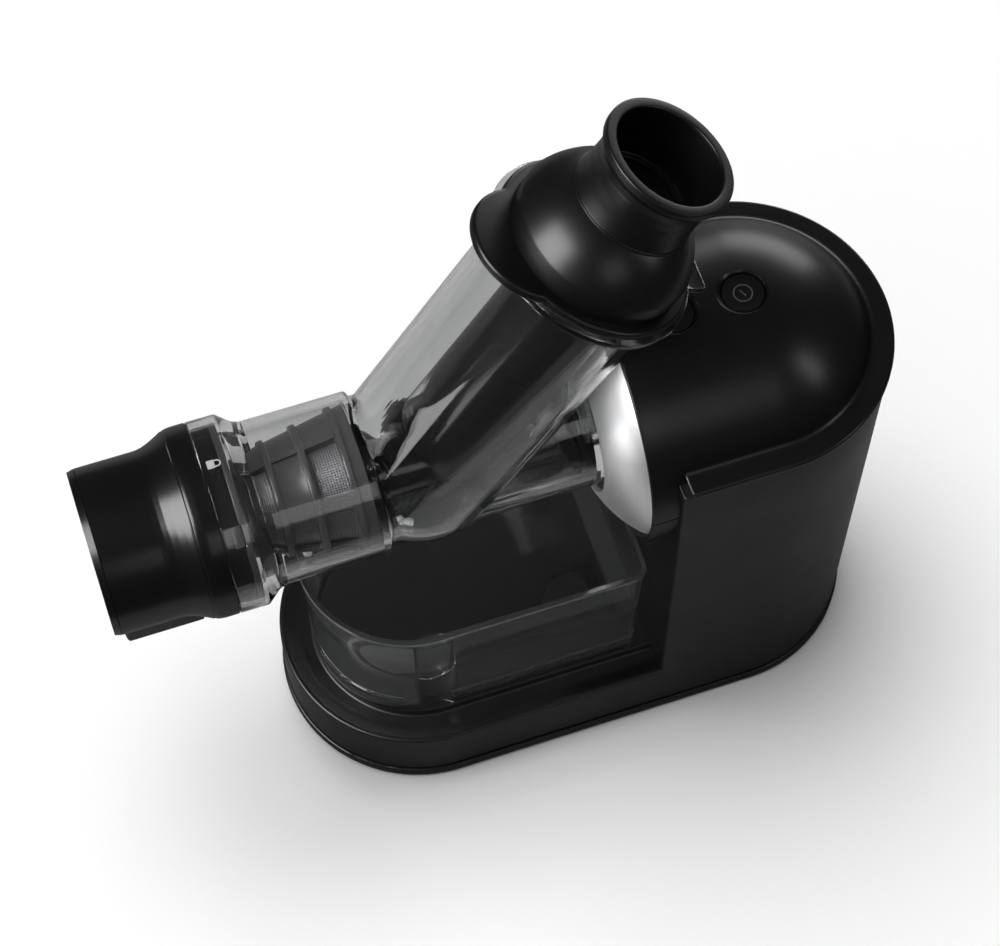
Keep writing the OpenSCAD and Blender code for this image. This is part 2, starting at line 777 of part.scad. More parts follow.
module juicing_chamber() {
    color([0.85, 0.88, 0.9, 0.35]) {
        difference() {
            union() {
                chamber_outer();
                along_tube() {
                    ball_tube(feed_r, feed_len);
                    translate([0, 0, feed_len - 3]) linear_extrude(3) mouth_outline();
                }
                // juice spout under the drum, and the drip rib beside it
                translate([spout_x - spout_half, -spout_half, spout_z])
                    cube([2 * spout_half, 2 * spout_half, axis_h - drum_r + 6 - spout_z]);
                translate([drum_x + 2, -5, axis_h - drum_r - 2]) cube([drum_end_x - drum_x - 4, 10, 6]);
            }
            chamber_inner();
            // hollow drive end behind the end wall, with the hole for the seal
            bar_x(neck_r - clear_wall, end_wall_x + 4, chamber_end_x + cut);
            bar_x(shaft_r + 4, end_wall_x - cut, end_wall_x + 5);
            along_tube() ball_tube(tube_bore, feed_len + cut);
            // way of the juice down the spout
            translate([spout_x - spout_half + spout_wall, spout_wall - spout_half, spout_z - cut])
                cube([2 * (spout_half - spout_wall), 2 * (spout_half - spout_wall),
                    axis_h - drum_r + 8 - spout_z]);
            // bayonet groove for the end cap, and the three ways into it
            ring_x(lug_r + gap, collar_bore - cut, cap_seam_x + 2, cap_seam_x + 5);
            for (a = [30:120:270])
                sector_x(lug_r + 0.5, collar_bore - cut, cap_seam_x - cut, cap_seam_x + 3, a, lug_deg + 6);
        }
        // keel down the tube's side towards the tower
        along_tube() translate([feed_r - 1, -1.5, 61]) cube([3, 3, feed_len - 63]);
        // stop beside the way in of the end cap's lugs
        sector_x(bayonet_r + 2, bayonet_r - 1, cap_seam_x + 0.5, cap_seam_x + 8.5, -40.5, 13);
        // lugs that lock in the hub
        for (a = [0:120:240])
            sector_x(neck_r + 2.8, neck_r - cut, collar_x, collar_x + 4, a, 18);
    }
}

module chamber_seal() {
    color([0.9, 0.35, 0.1]) {
        ring_x(shaft_r + 4, shaft_r + fit, end_wall_x - 1, end_wall_x + 4);
        ring_x(shaft_r + 7, shaft_r + fit, end_wall_x - 2.5, end_wall_x - 1);
    }
}

// Cage of rings and bars with a flange that seats in the bayonet collar
module strainer_cage() {
    bore = cage_r - clear_wall + 0.6;
    color([0.1, 0.1, 0.11]) difference() {
        union() {
            ring_x(collar_bore - gap, bore, cage_start_x, cage_start_x + 2.9);
            ring_x(cage_r + 2, bore, cage_start_x + 2.9, cage_start_x + 6);
            ring_x(cage_r, bore, cage_start_x + 2.9, cage_end_x);
            for (x = cage_hoops) ring_x(cage_r + 1.8, bore, x - hoop_half, x + hoop_half);
        }
        // windows between the hoops
        for (i = [0:cage_windows - 1], k = [0:len(cage_hoops) - 1]) {
            x0 = k == 0 ? cage_start_x + 7 : cage_hoops[k - 1] + hoop_half;
            translate([0, 0, axis_h]) rotate([(i + 0.5) * 360 / cage_windows, 0, 0])
                translate([x0, -8, cage_r - 8]) cube([cage_hoops[k] - hoop_half - x0, 16, 12]);
        }
    }
}

module strainer_mesh() {
    color([0.7, 0.71, 0.73]) ring_x(mesh_r, mesh_r - 0.5, cage_start_x, cage_end_x);
}

// ---------- end cap ----------

// Outer or inner form of the cap's turned part, set in by d
module cap_form(d) {
    about_axis() polygon([
        [0, cap_end_x + d], [cap_r - 5 - d, cap_end_x + 1 + d], [cap_r - 1.4 - d, cap_end_x + 1.8 + d],
        [cap_r - d, cap_end_x + 3 + d], [cap_r - d, cap_seam_x - 22 + d],
        [cap_r + 0.5 - d, cap_seam_x - 18 + d / 2], [cap_r + 1.8 - d, cap_seam_x - 14.5 + d / 2],
        [bayonet_r - 1.7 - d, cap_seam_x - 11.5 + d / 2], [bayonet_r - 0.4 - d, cap_seam_x - 9.5 + d / 2],
        [bayonet_r - d, cap_seam_x - 7.5 + d / 2], [bayonet_r - d, cap_seam_x - gap + (d > 0 ? 1 : 0)],
        [0, cap_seam_x - gap + (d > 0 ? 1 : 0)]
    ]);
}

module end_cap() {
    chute_x0 = cap_end_x + 3;
    chute_x1 = cap_seam_x - 12;
    chute_z = axis_h - chute_drop;
    color([0.055, 0.055, 0.06]) {
        difference() {
            union() {
                cap_form(0);
                difference() {
                    translate([chute_x0, -chute_half, chute_z])
                        cube([chute_x1 - chute_x0, 2 * chute_half, chute_drop]);
                    // slanting corner at the free end of the chute
                    translate([chute_x0, 0, chute_z]) rotate([0, 45, 0])
                        cube([7, 3 * chute_half, 7], center = true);
                }
            }
            cap_form(wall);
            // way of the pulp down the chute
            translate([chute_x0 + 5, -chute_half + wall, chute_z - cut])
                cube([chute_x1 - chute_x0 - 8, 2 * chute_half - 2 * wall, chute_drop - 10]);
        }
        // skirt that enters the collar, with its three lugs
        ring_x(skirt_r, skirt_r - wall, cap_seam_x - 12, cap_seam_x + 7.7);
        for (a = [0:120:240])
            sector_x(lug_r, skirt_r - 1, cap_seam_x + 2.4, cap_seam_x + 4.6, a, lug_deg);
    }
}

// Spider pressed into the skirt: a ring with three arms that carry the nose bush
module nose_carrier() {
    rim_in_r = skirt_r - wall - 1.5;
    color([0.1, 0.1, 0.11]) {
        ring_x(skirt_r - wall, rim_in_r, bush_x0, bush_x0 + 8);
        ring_x(bush_r + 2.5, bush_r, bush_x0, bush_x1);
        for (a = [60:120:300]) translate([bush_x0, 0, axis_h]) rotate([a, 0, 0])
            translate([0, -1.5, bush_r + 2]) cube([8, 3, rim_in_r - bush_r - 1.5]);
    }
}

module cap_bush() {
    color([0.85, 0.85, 0.82]) ring_x(bush_r, nose_r + fit, bush_x0, bush_x1);
}

// ---------- auger ----------

// Place along the juicing axis after the screw has turned by a, from the outlet end
function screw_x(a) =
    let (screen_turn = (screen_end_x - outlet_x) / screen_pitch * 360)
    a < screen_turn ? outlet_x + a * screen_pitch / 360
    : screen_end_x + (a - screen_turn) * feed_pitch / 360;

// Share of its full height that a flight has at the angle a from its crest
function flight_rise(a) =
    let (off = abs((a + 540) % 360 - 180))
    max(0, min(1, (flight_foot - off) / (flight_foot - flight_crest)));

// Radius of the screw at x, at the angle a from the crest of the first flight. The core
// swells towards the outlet, and a second flight grows where the strainer begins.
function screw_r(x, a) =
    let (
        in_screen = max(0, min(1, (screen_end_x + 8 - x) / 16)),
        swell = max(0, (screen_end_x - x) / (screen_end_x - outlet_x)),
        core = core_r + (core_end_r - core_r) * swell
    )
    core + (flight_r - core) * max(flight_rise(a), in_screen * flight_rise(a + 180));

// One ring of points round the axis at x, turned by phase; r is a disc's radius, or 0 for the screw
function screw_ring(x, phase, r = 0) = [
    for (j = [0:round_points - 1])
        let (a = j * 360 / round_points, rr = r > 0 ? r : screw_r(x, a))
        [x, rr * cos(phase + a), axis_h + rr * sin(phase + a)]
];

// Screw swept ring by ring: a deep single flight under the feed tube that turns into a
// tight double flight inside the strainer, closed by a disc at the drive end
module screw() {
    disc_x = drive_end_x - disc_w;
    turns = (screen_end_x - outlet_x) / screen_pitch + (disc_x - screen_end_x) / feed_pitch;
    steps = floor(turns * 360 / turn_step);
    last = turns * 360;
    rings = concat(
        [for (i = [0:steps - 1]) screw_ring(screw_x(i * turn_step), i * turn_step)],
        [screw_ring(disc_x, last), screw_ring(disc_x + gap, last, disc_r),
            screw_ring(drive_end_x, last, disc_r)]
    );
    n = len(rings);
    m = round_points;
    polyhedron(
        points = [for (ring = rings, p = ring) p],
        faces = concat(
            [[for (j = [0:m - 1]) j], [for (j = [m - 1:-1:0]) (n - 1) * m + j]],
            [for (i = [0:n - 2], j = [0:m - 1]) [i * m + j, (i + 1) * m + j, i * m + (j + 1) % m]],
            [for (i = [0:n - 2], j = [0:m - 1])
                [(i + 1) * m + j, (i + 1) * m + (j + 1) % m, i * m + (j + 1) % m]]
        )
    );
}

module auger() {
    color([0.05, 0.05, 0.055]) {
        screw();
        bar_x(nose_r, cap_seam_x - 5, outlet_x + cut);
    }
}

module auger_shaft() {
    color([0.72, 0.73, 0.75]) {
        bar_x(shaft_r, drive_end_x, hex_x);
        translate([hex_x, 0, axis_h]) rotate([0, 90, 0]) cylinder(r = shaft_r, h = hex_len, $fn = 6);
    }
}

module drive_socket() {
    color([0.68, 0.69, 0.71]) {
        difference() {
            bar_x(socket_r, face_x + 1, output_x + output_w + 1);
            translate([face_x, 0, axis_h]) rotate([0, 90, 0])
                cylinder(r = shaft_r + 0.1, h = 17, $fn = 6);
        }
        bar_x(journal_r, output_x + output_w, plate_rear_x + plate_t + 3);
    }
}

// ---------- pusher ----------

// Hollow plunger whose lower end is a saddle over the auger
module pusher_body() {
    color([0.05, 0.05, 0.055]) difference() {
        along_tube() translate([pusher_shift, 0, 0]) cylinder(r = pusher_r, h = feed_len);
        bar_x(saddle_r, -80, 40);
        difference() {
            along_tube() translate([pusher_shift, 0, 0])
                cylinder(r = pusher_r - wall, h = feed_len + cut);
            bar_x(saddle_r + wall, -80, 40);
        }
    }
}

// Plate with a finger lobe, and the dome that rises from it
module pusher_plate() {
    plate_t = 4;
    ball_r = dome_r + 1.5;
    ball_z = feed_len + 2;
    dome_top = 180;
    color([0.05, 0.05, 0.055]) along_tube() difference() {
        union() {
            translate([0, 0, feed_len]) linear_extrude(plate_t) {
                circle(plate_r);
                translate([-lobe_off, 0]) circle(lobe_r);
            }
            intersection() {
                translate([0, 0, feed_len]) cylinder(r = dome_r, h = dome_top - feed_len);
                translate([0, 0, ball_z]) sphere(ball_r, $fn = fine);
            }
        }
        // hollow under the dome
        intersection() {
            translate([0, 0, feed_len + plate_t]) cylinder(r = dome_r - wall, h = 22);
            translate([0, 0, ball_z]) sphere(ball_r - wall, $fn = fine);
        }
        translate([pusher_shift, 0, feed_len - cut]) cylinder(r = pusher_r - wall, h = plate_t + 1);
    }
}

// Hollow grip: a waisted cup with a flat rim and a stepped bore
module pusher_grip() {
    foot = 180;
    floor_z = 183;
    color([0.05, 0.05, 0.055]) along_tube() rotate_extrude() polygon([
        [0, foot], [grip_waist_r + 1.3, foot], [grip_waist_r + 1.3, foot + 1.4],
        [grip_waist_r + 0.6, foot + 2], [grip_waist_r + 0.2, foot + 8],
        [grip_waist_r, foot + 14], [grip_waist_r + 0.3, foot + 18],
        [grip_waist_r + 1.2, foot + 22], [grip_rim_r - 0.6, grip_top - 3.4],
        [grip_rim_r, grip_top - 2.6], [grip_rim_r, grip_top - 0.5], [grip_rim_r - 0.5, grip_top],
        [grip_rim_r - 4, grip_top], [grip_rim_r - 4.4, grip_top - 0.5],
        [grip_waist_r - 2.2, floor_z + 3], [grip_waist_r - 4.6, floor_z + 2.6],
        [grip_waist_r - 5, floor_z], [0, floor_z]
    ]);
}

// ---------- juice container ----------

// Solid with drafted walls: a round left end and a square right end with round corners.
// Its plan is set in by in_top at z1 and by in_low at z0.
module tub_solid(z0, z1, in_low, in_top) {
    side = tub_r - tub_corner;
    racetrack(tub_x, tub_end_x - tub_corner, round_right = false)
        polygon([[0, z0], [tub_r - in_low, z0], [tub_r - in_top, z1], [0, z1]]);
    translate([0, side, 0]) rotate([90, 0, 0]) linear_extrude(2 * side) polygon([
        [tub_end_x - tub_corner - cut, z0], [tub_end_x - in_low, z0],
        [tub_end_x - in_top, z1], [tub_end_x - tub_corner - cut, z1]
    ]);
    for (s = [-1, 1]) translate([tub_end_x - tub_corner, s * side, 0])
        rotate([0, 0, s > 0 ? 0 : -90]) rotate_extrude(angle = 90)
        polygon([[0, z0], [tub_corner - in_low, z0], [tub_corner - in_top, z1], [0, z1]]);
}

// Outer form of the container: drafted walls over a foot band that stands a little proud
module tub_outer(d) {
    tub_solid(band_z - cut, tub_top, 0.6 + tub_draft + d, 0.6 + d);
    tub_solid(tub_foot_z, band_z, band_in + 0.4 + d, band_in + d);
}

// Front view of the opening of the finger pocket: as wide as the pocket, and bounded above by
// a round tongue
module pocket_opening() {
    difference() {
        translate([pocket_x - pocket_half - cut, tub_foot_z - 1])
            square([2 * (pocket_half + cut), tongue_z + pocket_half - tub_foot_z + 1]);
        translate([pocket_x, tongue_z + pocket_half]) circle(pocket_half);
    }
}

// Upright pocket for the fingers, behind the front wall
module pocket(r, z0, z1) {
    translate([pocket_x, pocket_y, z0]) cylinder(r = r, h = z1 - z0);
}

module juice_container() {
    inside_z = tub_foot_z + tub_floor;
    color([0.3, 0.31, 0.33, 0.45]) difference() {
        union() {
            difference() {
                union() {
                    tub_outer(0);
                    tub_solid(tub_top - tub_lip, tub_top, 0, 0);
                }
                tub_solid(inside_z, tub_top + cut, tub_draft + 1 + tub_wall, tub_wall + 0.6);
            }
            // inner wall of the finger pocket
            intersection() {
                tub_outer(0.2);
                pocket(pocket_r + tub_wall, tub_foot_z, pocket_top + tub_wall);
            }
        }
        // the pocket, behind the tongue
        intersection() {
            tub_outer(tub_wall);
            pocket(pocket_r, tub_foot_z - cut, pocket_top);
        }
        // its opening below the tongue
        intersection() {
            pocket(pocket_r, tub_foot_z - cut, pocket_top);
            rotate([90, 0, 0]) linear_extrude(tub_r + 10) pocket_opening();
        }
    }
}

// ---------- buttons ----------

// Cap with a slightly hollow top, a retaining collar under the sleeve and a stem
module button(x) {
    top_z = axis_h + bullet_r - 0.9;
    translate([x, 0, 0]) difference() {
        union() {
            translate([0, 0, top_z - 9.6]) cylinder(r = button_r, h = 9.6);
            translate([0, 0, top_z - 9.8]) cylinder(r = button_r + 1.5, h = 1.5);
            translate([0, 0, board_z + 6 + button_travel + 0.3])
                cylinder(r = 2, h = top_z - board_z - 8 - button_travel);
        }
        translate([0, 0, top_z + 118.8]) sphere(120, $fn = fine);
        translate([0, 0, top_z - 10]) difference() {
            cylinder(r = button_r - 1.5, h = 7);
            translate([0, 0, -cut]) cylinder(r = 2, h = 8);
        }
    }
}

module power_button() {
    color([0.07, 0.07, 0.075]) button(power_x);
}

module reverse_button() {
    color([0.07, 0.07, 0.075]) button(reverse_x);
}

lower_housing();
top_cover();
base_plate();
rubber_feet();
base_screws();
steel_cone();
chamber_hub();
shaft_seal();
front_gear_plate();
rear_gear_plate();
plate_posts();
drive_bearings();
layshaft_pins();
motor_stator();
motor_bracket();
control_board();
tact_switches();
cord_grommet();
juicing_chamber();
chamber_seal();
strainer_cage();
strainer_mesh();
end_cap();
nose_carrier();
cap_bush();
auger();
auger_shaft();
drive_socket();
output_gear();
second_gear();
first_gear();
motor_rotor();
cooling_fan();
pusher_body();
pusher_plate();
pusher_grip();
juice_container();
power_button();
reverse_button();
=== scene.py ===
import math

import bmesh
import bpy
import numpy as np
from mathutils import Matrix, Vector


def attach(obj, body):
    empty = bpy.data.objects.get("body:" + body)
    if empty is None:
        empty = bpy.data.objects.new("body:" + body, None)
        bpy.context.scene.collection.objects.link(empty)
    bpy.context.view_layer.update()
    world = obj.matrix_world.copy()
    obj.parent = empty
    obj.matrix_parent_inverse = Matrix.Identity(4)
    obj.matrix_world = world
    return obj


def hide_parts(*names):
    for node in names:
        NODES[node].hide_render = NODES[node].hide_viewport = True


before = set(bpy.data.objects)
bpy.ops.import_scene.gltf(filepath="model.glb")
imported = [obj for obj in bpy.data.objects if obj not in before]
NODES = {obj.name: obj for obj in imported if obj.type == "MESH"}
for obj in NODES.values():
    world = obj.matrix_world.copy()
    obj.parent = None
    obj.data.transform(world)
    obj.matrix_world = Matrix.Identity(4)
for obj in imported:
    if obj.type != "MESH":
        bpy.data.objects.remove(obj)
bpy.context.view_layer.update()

# --- Sizes, in millimetres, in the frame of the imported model: X along the juicing axis towards the
# motor tower, -Y to the front, +Z up. R is a radius, T a thickness, and X, Y, Z and H are places. ---
MM = 0.001
TURN = 2 * math.pi

AXIS_H = 203.0                       # juicing axis

BODY_R, TOWER_X, TRAY_X, FACE_X = 65.0, 109.5, -38.0, 62.0
SEAM_Z, TRAY_Z, PAD_Z, LID_Z = 9.0, 42.0, 40.0, 225.5
BULLET_R, COLLAR_X = 62.0, 50.0
LIP_OUT, LIP_T = 1.0, 3.5
POWER_X, REVERSE_X = 108.8, 78.0
WELL_R, CAP_R, SLEEVE_Z = 9.3, 8.4, 256

FEED_TILT = math.radians(30)
FEED_LEN, FEED_R, FEED_WALL = 149.0, 37.0, 3.5
ALONG = np.array([math.sin(FEED_TILT), 0.0, math.cos(FEED_TILT)])
ACROSS = np.array([math.cos(FEED_TILT), 0.0, -math.sin(FEED_TILT)])
BACK = np.array([0.0, 1.0, 0.0])
FEED_FOOT = np.array([-34.0, 0.0, AXIS_H])

BARREL_R, FLANGE_R, FLANGE_X = 35.5, 41.5, -123.0
CAGE_START, CAGE_END = -115.0, -58.9
CAGE_SMALL_R, CAGE_BIG_R, CAGE_WALL = 20.5, 30.5, 2.4
CAGE_HOOPS, HOOP_HALF = (-96.0, -81.5, -65.3), 1.5
LOCK_MARK_X, LOCK_MARK_DEG = -118.0, 4.0

OUTLET_X, SCREEN_X, DRIVE_X = -116.0, -54.0, 33.0
PITCH_SCREEN, PITCH_FEED, CREST_R, CORE_R = 24, 44, 26.4, 13
DISC_T, DISC_R, NOSE_R = 2.5, 27.5, 5

CAP_X, CAP_SEAM = -175.5, -123.3

TUB_R, TUB_X, TUB_END, TUB_CORNER = 51.0, -40.0, 57.5, 7.0
TUB_FOOT, TUB_BAND, TUB_TOP, TUB_FLOOR = 40.4, 54.0, 125.0, 3.0
# Heights over which the painted shade on the container's floor fades out.
FLOOR_SHADE_FADE = (0.0455, 0.0475)         # in metres
POCKET_X, POCKET_Y, POCKET_R, POCKET_HALF, TONGUE_Z = -44.25, -56.6, 12.4, 9.4, 77.0


# --- Curves in the plane ---

def arc(cx, cy, r, start, end, steps):
    """Points of a circular arc from one angle to another, in degrees."""
    a = np.radians(np.linspace(start, end, steps + 1))
    return np.column_stack([cx + r * np.cos(a), cy + r * np.sin(a)])


def rounded(corners, radii, steps=6, closed=False):
    """Polyline whose corners are arcs. At a corner with the angle 2h between its sides, the arc of
    radius r starts r / tan(h) before the corner and has its centre r / sin(h) from it."""
    corners = np.asarray(corners, float)
    n = len(corners)
    radii = np.broadcast_to(radii, n)
    pieces = []
    for i in range(n):
        here = corners[i]
        if radii[i] <= 0 or (not closed and i in (0, n - 1)):
            pieces.append(here[None])
            continue
        to_last = corners[i - 1] - here
        to_next = corners[(i + 1) % n] - here
        to_last /= np.linalg.norm(to_last)
        to_next /= np.linalg.norm(to_next)
        half = math.acos(np.clip(to_last @ to_next, -1, 1)) / 2
        middle = to_last + to_next
        centre = here + middle / np.linalg.norm(middle) * radii[i] / math.sin(half)
        first = here + to_last * radii[i] / math.tan(half) - centre
        final = here + to_next * radii[i] / math.tan(half) - centre
        start = math.atan2(first[1], first[0])
        sweep = (math.atan2(final[1], final[0]) - start + math.pi) % TURN - math.pi
        a = start + sweep * np.linspace(0, 1, steps + 1)
        pieces.append(centre + radii[i] * np.column_stack([np.cos(a), np.sin(a)]))
    return np.vstack(pieces)


def outward(outline):
    """Unit normals of a closed anticlockwise outline: each is its chord's direction turned right."""
    chord = np.roll(outline, -1, 0) - np.roll(outline, 1, 0)
    chord /= np.linalg.norm(chord, axis=1, keepdims=True)
    return np.column_stack([chord[:, 1], -chord[:, 0]])


# --- Surfaces: arrays of points over two parameters ---

def circle(n=128):
    """Angles of a full turn in n steps."""
    return np.arange(n) * TURN / n


def about_axis(x, r, a):
    """Points at x along the juicing axis, r away from it, a being the angle from the top to the back."""
    return np.stack(np.broadcast_arrays(x, r * np.sin(a), AXIS_H + r * np.cos(a)), -1)


def lathe_x(profile, angles=None, shape=None):
    """Turns a profile of (x, radius) about the juicing axis. A shape changes the radius with the angle."""
    a = circle() if angles is None else angles
    x, r = np.asarray(profile, float).T[:, :, None]
    return about_axis(x, shape(a, r) if shape else r, a)


def lathe_tube(profile, angles=None):
    """Turns a profile of (distance along the feed tube, radius) about the tube's axis."""
    a = (circle() if angles is None else angles)[None, :, None]
    s, r = np.asarray(profile, float).T[:, :, None, None]
    return FEED_FOOT + s * ALONG + r * np.cos(a) * ACROSS + r * np.sin(a) * BACK


def lathe_z(profile, cx, cy=0.0, angles=None):
    """Turns a profile of (radius, height) about an upright line."""
    a = circle(96) if angles is None else angles
    r, z = np.asarray(profile, float).T
    return np.stack([cx + r[:, None] * np.cos(a), cy + r[:, None] * np.sin(a),
                     np.broadcast_to(z[:, None], (len(z), len(a)))], -1)


def racetrack(x_left, x_right, round_end, straight=24, turn=72):
    """Stations round a racetrack with one round end, left or right: points on the middle line and the
    normals that point out from it. They run anticlockwise, from where the other end is open."""
    x = np.linspace(x_left, x_right, straight + 1)
    quarter = math.pi / 2
    swing = np.linspace(-quarter, quarter, turn + 1)[1:-1]
    front = (x, np.full(len(x), -quarter))
    right = (np.full(len(swing), float(x_right)), swing)
    back = (x[::-1], np.full(len(x), quarter))
    left = (np.full(len(swing), float(x_left)), swing + math.pi)
    runs = [back, left, front] if round_end == "left" else [front, right, back]
    middle, angle = (np.concatenate(part) for part in zip(*runs))
    centre = np.column_stack([middle, np.zeros_like(middle)])
    return centre, np.column_stack([np.cos(angle), np.sin(angle)])


def lifted(plan, z):
    """Stacked rings of plan points, each ring lifted to its own height."""
    return np.concatenate([plan, np.broadcast_to(z[:, None, None], plan.shape[:2] + (1,))], -1)


def sweep(profile, stations):
    """Carries a profile of (distance out, height) round the stations: each point is its station's middle
    plus the distance along the station's normal."""
    centre, normal = stations
    d, z = np.asarray(profile, float).T
    return lifted(centre[None] + d[:, None, None] * normal[None], z)


def prism(outline, edge):
    """Slab over a closed outline. edge lists (inset, height) from the lowest to the highest ring, and each
    ring is the outline moved in along its normals."""
    normal = outward(outline)
    inset, z = np.asarray(edge, float).T
    return lifted(outline[None] - inset[:, None, None] * normal[None], z)


def on_tube(points):
    """Stands points of (across, back, along) on the feed tube's axis."""
    return FEED_FOOT + points[..., 0:1] * ACROSS + points[..., 1:2] * BACK + points[..., 2:3] * ALONG


# --- Meshes ---

def quads(rows, columns, wrap_rows, wrap_columns):
    """Corner numbers of the quads of a grid; a wrap joins the last row or column to the first."""
    r = np.arange(rows if wrap_rows else rows - 1)[:, None]
    c = np.arange(columns if wrap_columns else columns - 1)[None]
    r2, c2 = (r + 1) % rows, (c + 1) % columns
    return np.stack([r * columns + c, r2 * columns + c, r2 * columns + c2, r * columns + c2],
                    -1).reshape(-1, 4)


def raw_mesh(name, patches):
    """Mesh from patches. A patch is (points, wrap rows, wrap columns) for a grid, or (ring,) for one flat
    face. Points that meet are merged, and the faces of the closed form are turned outwards."""
    points, faces, count = [], [], 0
    for patch in patches:
        if len(patch) == 1:
            ring = np.asarray(patch[0])
            faces.append(list(range(count, count + len(ring))))
            points.append(ring)
            count += len(ring)
            continue
        grid, wrap_rows, wrap_columns = patch
        rows, columns = grid.shape[:2]
        faces.extend((quads(rows, columns, wrap_rows, wrap_columns) + count).tolist())
        points.append(grid.reshape(-1, 3))
        count += rows * columns
    mesh = bpy.data.meshes.new(name)
    mesh.from_pydata((np.vstack(points) * MM).tolist(), [], faces)
    shape = bmesh.new()
    shape.from_mesh(mesh)
    bmesh.ops.remove_doubles(shape, verts=shape.verts, dist=2e-6)
    bmesh.ops.dissolve_degenerate(shape, edges=shape.edges, dist=1e-6)
    bmesh.ops.recalc_face_normals(shape, faces=shape.faces)
    shape.to_mesh(mesh)
    shape.free()
    return mesh


def slab(name, rings):
    """Closed mesh over stacked rings, with a flat face on the first and on the last."""
    return raw_mesh(name, [(rings, False, True), (rings[0],), (rings[-1],)])


def strip(name, grid):
    """Closed mesh over a tube of columns, with a flat face on the first column and on the last."""
    return raw_mesh(name, [(grid, True, False), (grid[:, 0],), (grid[:, -1],)])


def merged(name, meshes):
    """One mesh from several closed ones."""
    shape = bmesh.new()
    for mesh in meshes:
        shape.from_mesh(mesh)
    result = bpy.data.meshes.new(name)
    shape.to_mesh(result)
    shape.free()
    return result


def carve(mesh, cutters, operation="DIFFERENCE"):
    """Boolean of a closed mesh with closed cutters, one after the other."""
    for cutter in cutters:
        body = bpy.data.objects.new("body_of_" + mesh.name, mesh)
        tool = bpy.data.objects.new("tool_of_" + mesh.name, cutter)
        for thing in (body, tool):
            bpy.context.scene.collection.objects.link(thing)
        modifier = body.modifiers.new("carve", "BOOLEAN")
        modifier.operation = operation
        modifier.solver = "EXACT"
        modifier.object = tool
        bpy.context.view_layer.update()
        seen = body.evaluated_get(bpy.context.evaluated_depsgraph_get())
        mesh = bpy.data.meshes.new_from_object(seen)
        bpy.data.objects.remove(body)
        bpy.data.objects.remove(tool)
    return mesh


def place(name, mesh, body, finish, slot, replaces=(), crease=32):
    """Puts a finished mesh in the scene as a piece of one body, with smooth shading between its creases.
    Clear pieces cast no shadow, so that what is inside them is lit."""
    mesh.name = name
    piece = bpy.data.objects.new(name, mesh)
    bpy.context.scene.collection.objects.link(piece)
    mesh.materials.clear()
    mesh.materials.append(finish)
    mesh.shade_smooth()
    mesh.set_sharp_from_angle(angle=math.radians(crease))
    piece.visible_shadow = slot not in ("clear_plastic", "smoke_plastic")
    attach(piece, body)
    if replaces:
        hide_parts(*replaces)


# --- Shader tools ---

class Value:
    """A number or colour that varies over a surface. Each operation on it adds a Math node."""

    def __init__(self, finish, socket):
        self.finish = finish
        self.socket = socket

    def _math(self, operation, first, second):
        return self.finish.node("ShaderNodeMath", {"operation": operation}, {0: first, 1: second})

    def __add__(self, other):
        return self._math("ADD", self, other)

    def __sub__(self, other):
        return self._math("SUBTRACT", self, other)

    def __mul__(self, other):
        return self._math("MULTIPLY", self, other)

    def root(self):
        return self._math("SQRT", self, 0.0)


class Finish:
    """A material being made: one Principled shader and the nodes that feed it."""

    def __init__(self, name, **constants):
        self.material = bpy.data.materials.new(name)
        self.material.use_nodes = True
        self.tree = self.material.node_tree
        self.shader = self.tree.nodes["Principled BSDF"]
        for label, value in constants.items():
            self.shader.inputs[label.replace("_", " ")].default_value = value

    def node(self, kind, settings=None, inputs=None, output=0):
        """Adds a node, applies its settings, then sets or links its inputs, and returns an output."""
        made = self.tree.nodes.new(kind)
        for key, value in (settings or {}).items():
            setattr(made, key, value)
        for key, value in (inputs or {}).items():
            socket = made.inputs[key]
            if isinstance(value, Value):
                self.tree.links.new(value.socket, socket)
            else:
                socket.default_value = value
        return Value(self, made.outputs[output])

    def place(self):
        """Where the shaded point is on the object, in metres."""
        return self.node("ShaderNodeTexCoord", output="Object")

    def axes(self):
        """The three coordinates of the shaded point as values."""
        made = self.tree.nodes.new("ShaderNodeSeparateXYZ")
        self.tree.links.new(self.place().socket, made.inputs[0])
        return [Value(self, made.outputs[i]) for i in range(3)]

    def turn(self, y, up):
        """Angle about the juicing axis."""
        return self.node("ShaderNodeMath", {"operation": "ARCTAN2"}, {0: y, 1: up})

    def vector(self, x, y, z):
        """Point from three values."""
        return self.node("ShaderNodeCombineXYZ", None, {0: x, 1: y, 2: z})

    def noise(self, scale, detail=2.0, roughness=0.5, point=None):
        """Soft noise from 0 to 1, scale being its cells per metre."""
        return self.node("ShaderNodeTexNoise", None, {"Vector": point or self.place(), "Scale": scale,
                                                      "Detail": detail, "Roughness": roughness})

    def ramp(self, value, low, high, from_low=0.35, from_high=0.65):
        """Maps a stretch of a value to a range of numbers."""
        return self.node("ShaderNodeMapRange", {"clamp": True},
                         {"Value": value, "From Min": from_low, "From Max": from_high,
                          "To Min": low, "To Max": high})

    def blend(self, factor, first, second):
        """Colour between two colours."""
        return self.node("ShaderNodeMix", {"data_type": "RGBA"},
                         {"Factor": factor, 6: (*first, 1.0), 7: (*second, 1.0)}, output=2)

    def feed(self, label, value):
        """Links a value to the shader."""
        self.tree.links.new(value.socket, self.shader.inputs[label])

    def bump(self, height, strength, distance):
        """Tilts the normals by a height field; distance is in metres."""
        self.feed("Normal", self.node("ShaderNodeBump", None, {"Height": height, "Strength": strength,
                                                              "Distance": distance}))


# --- Finishes ---

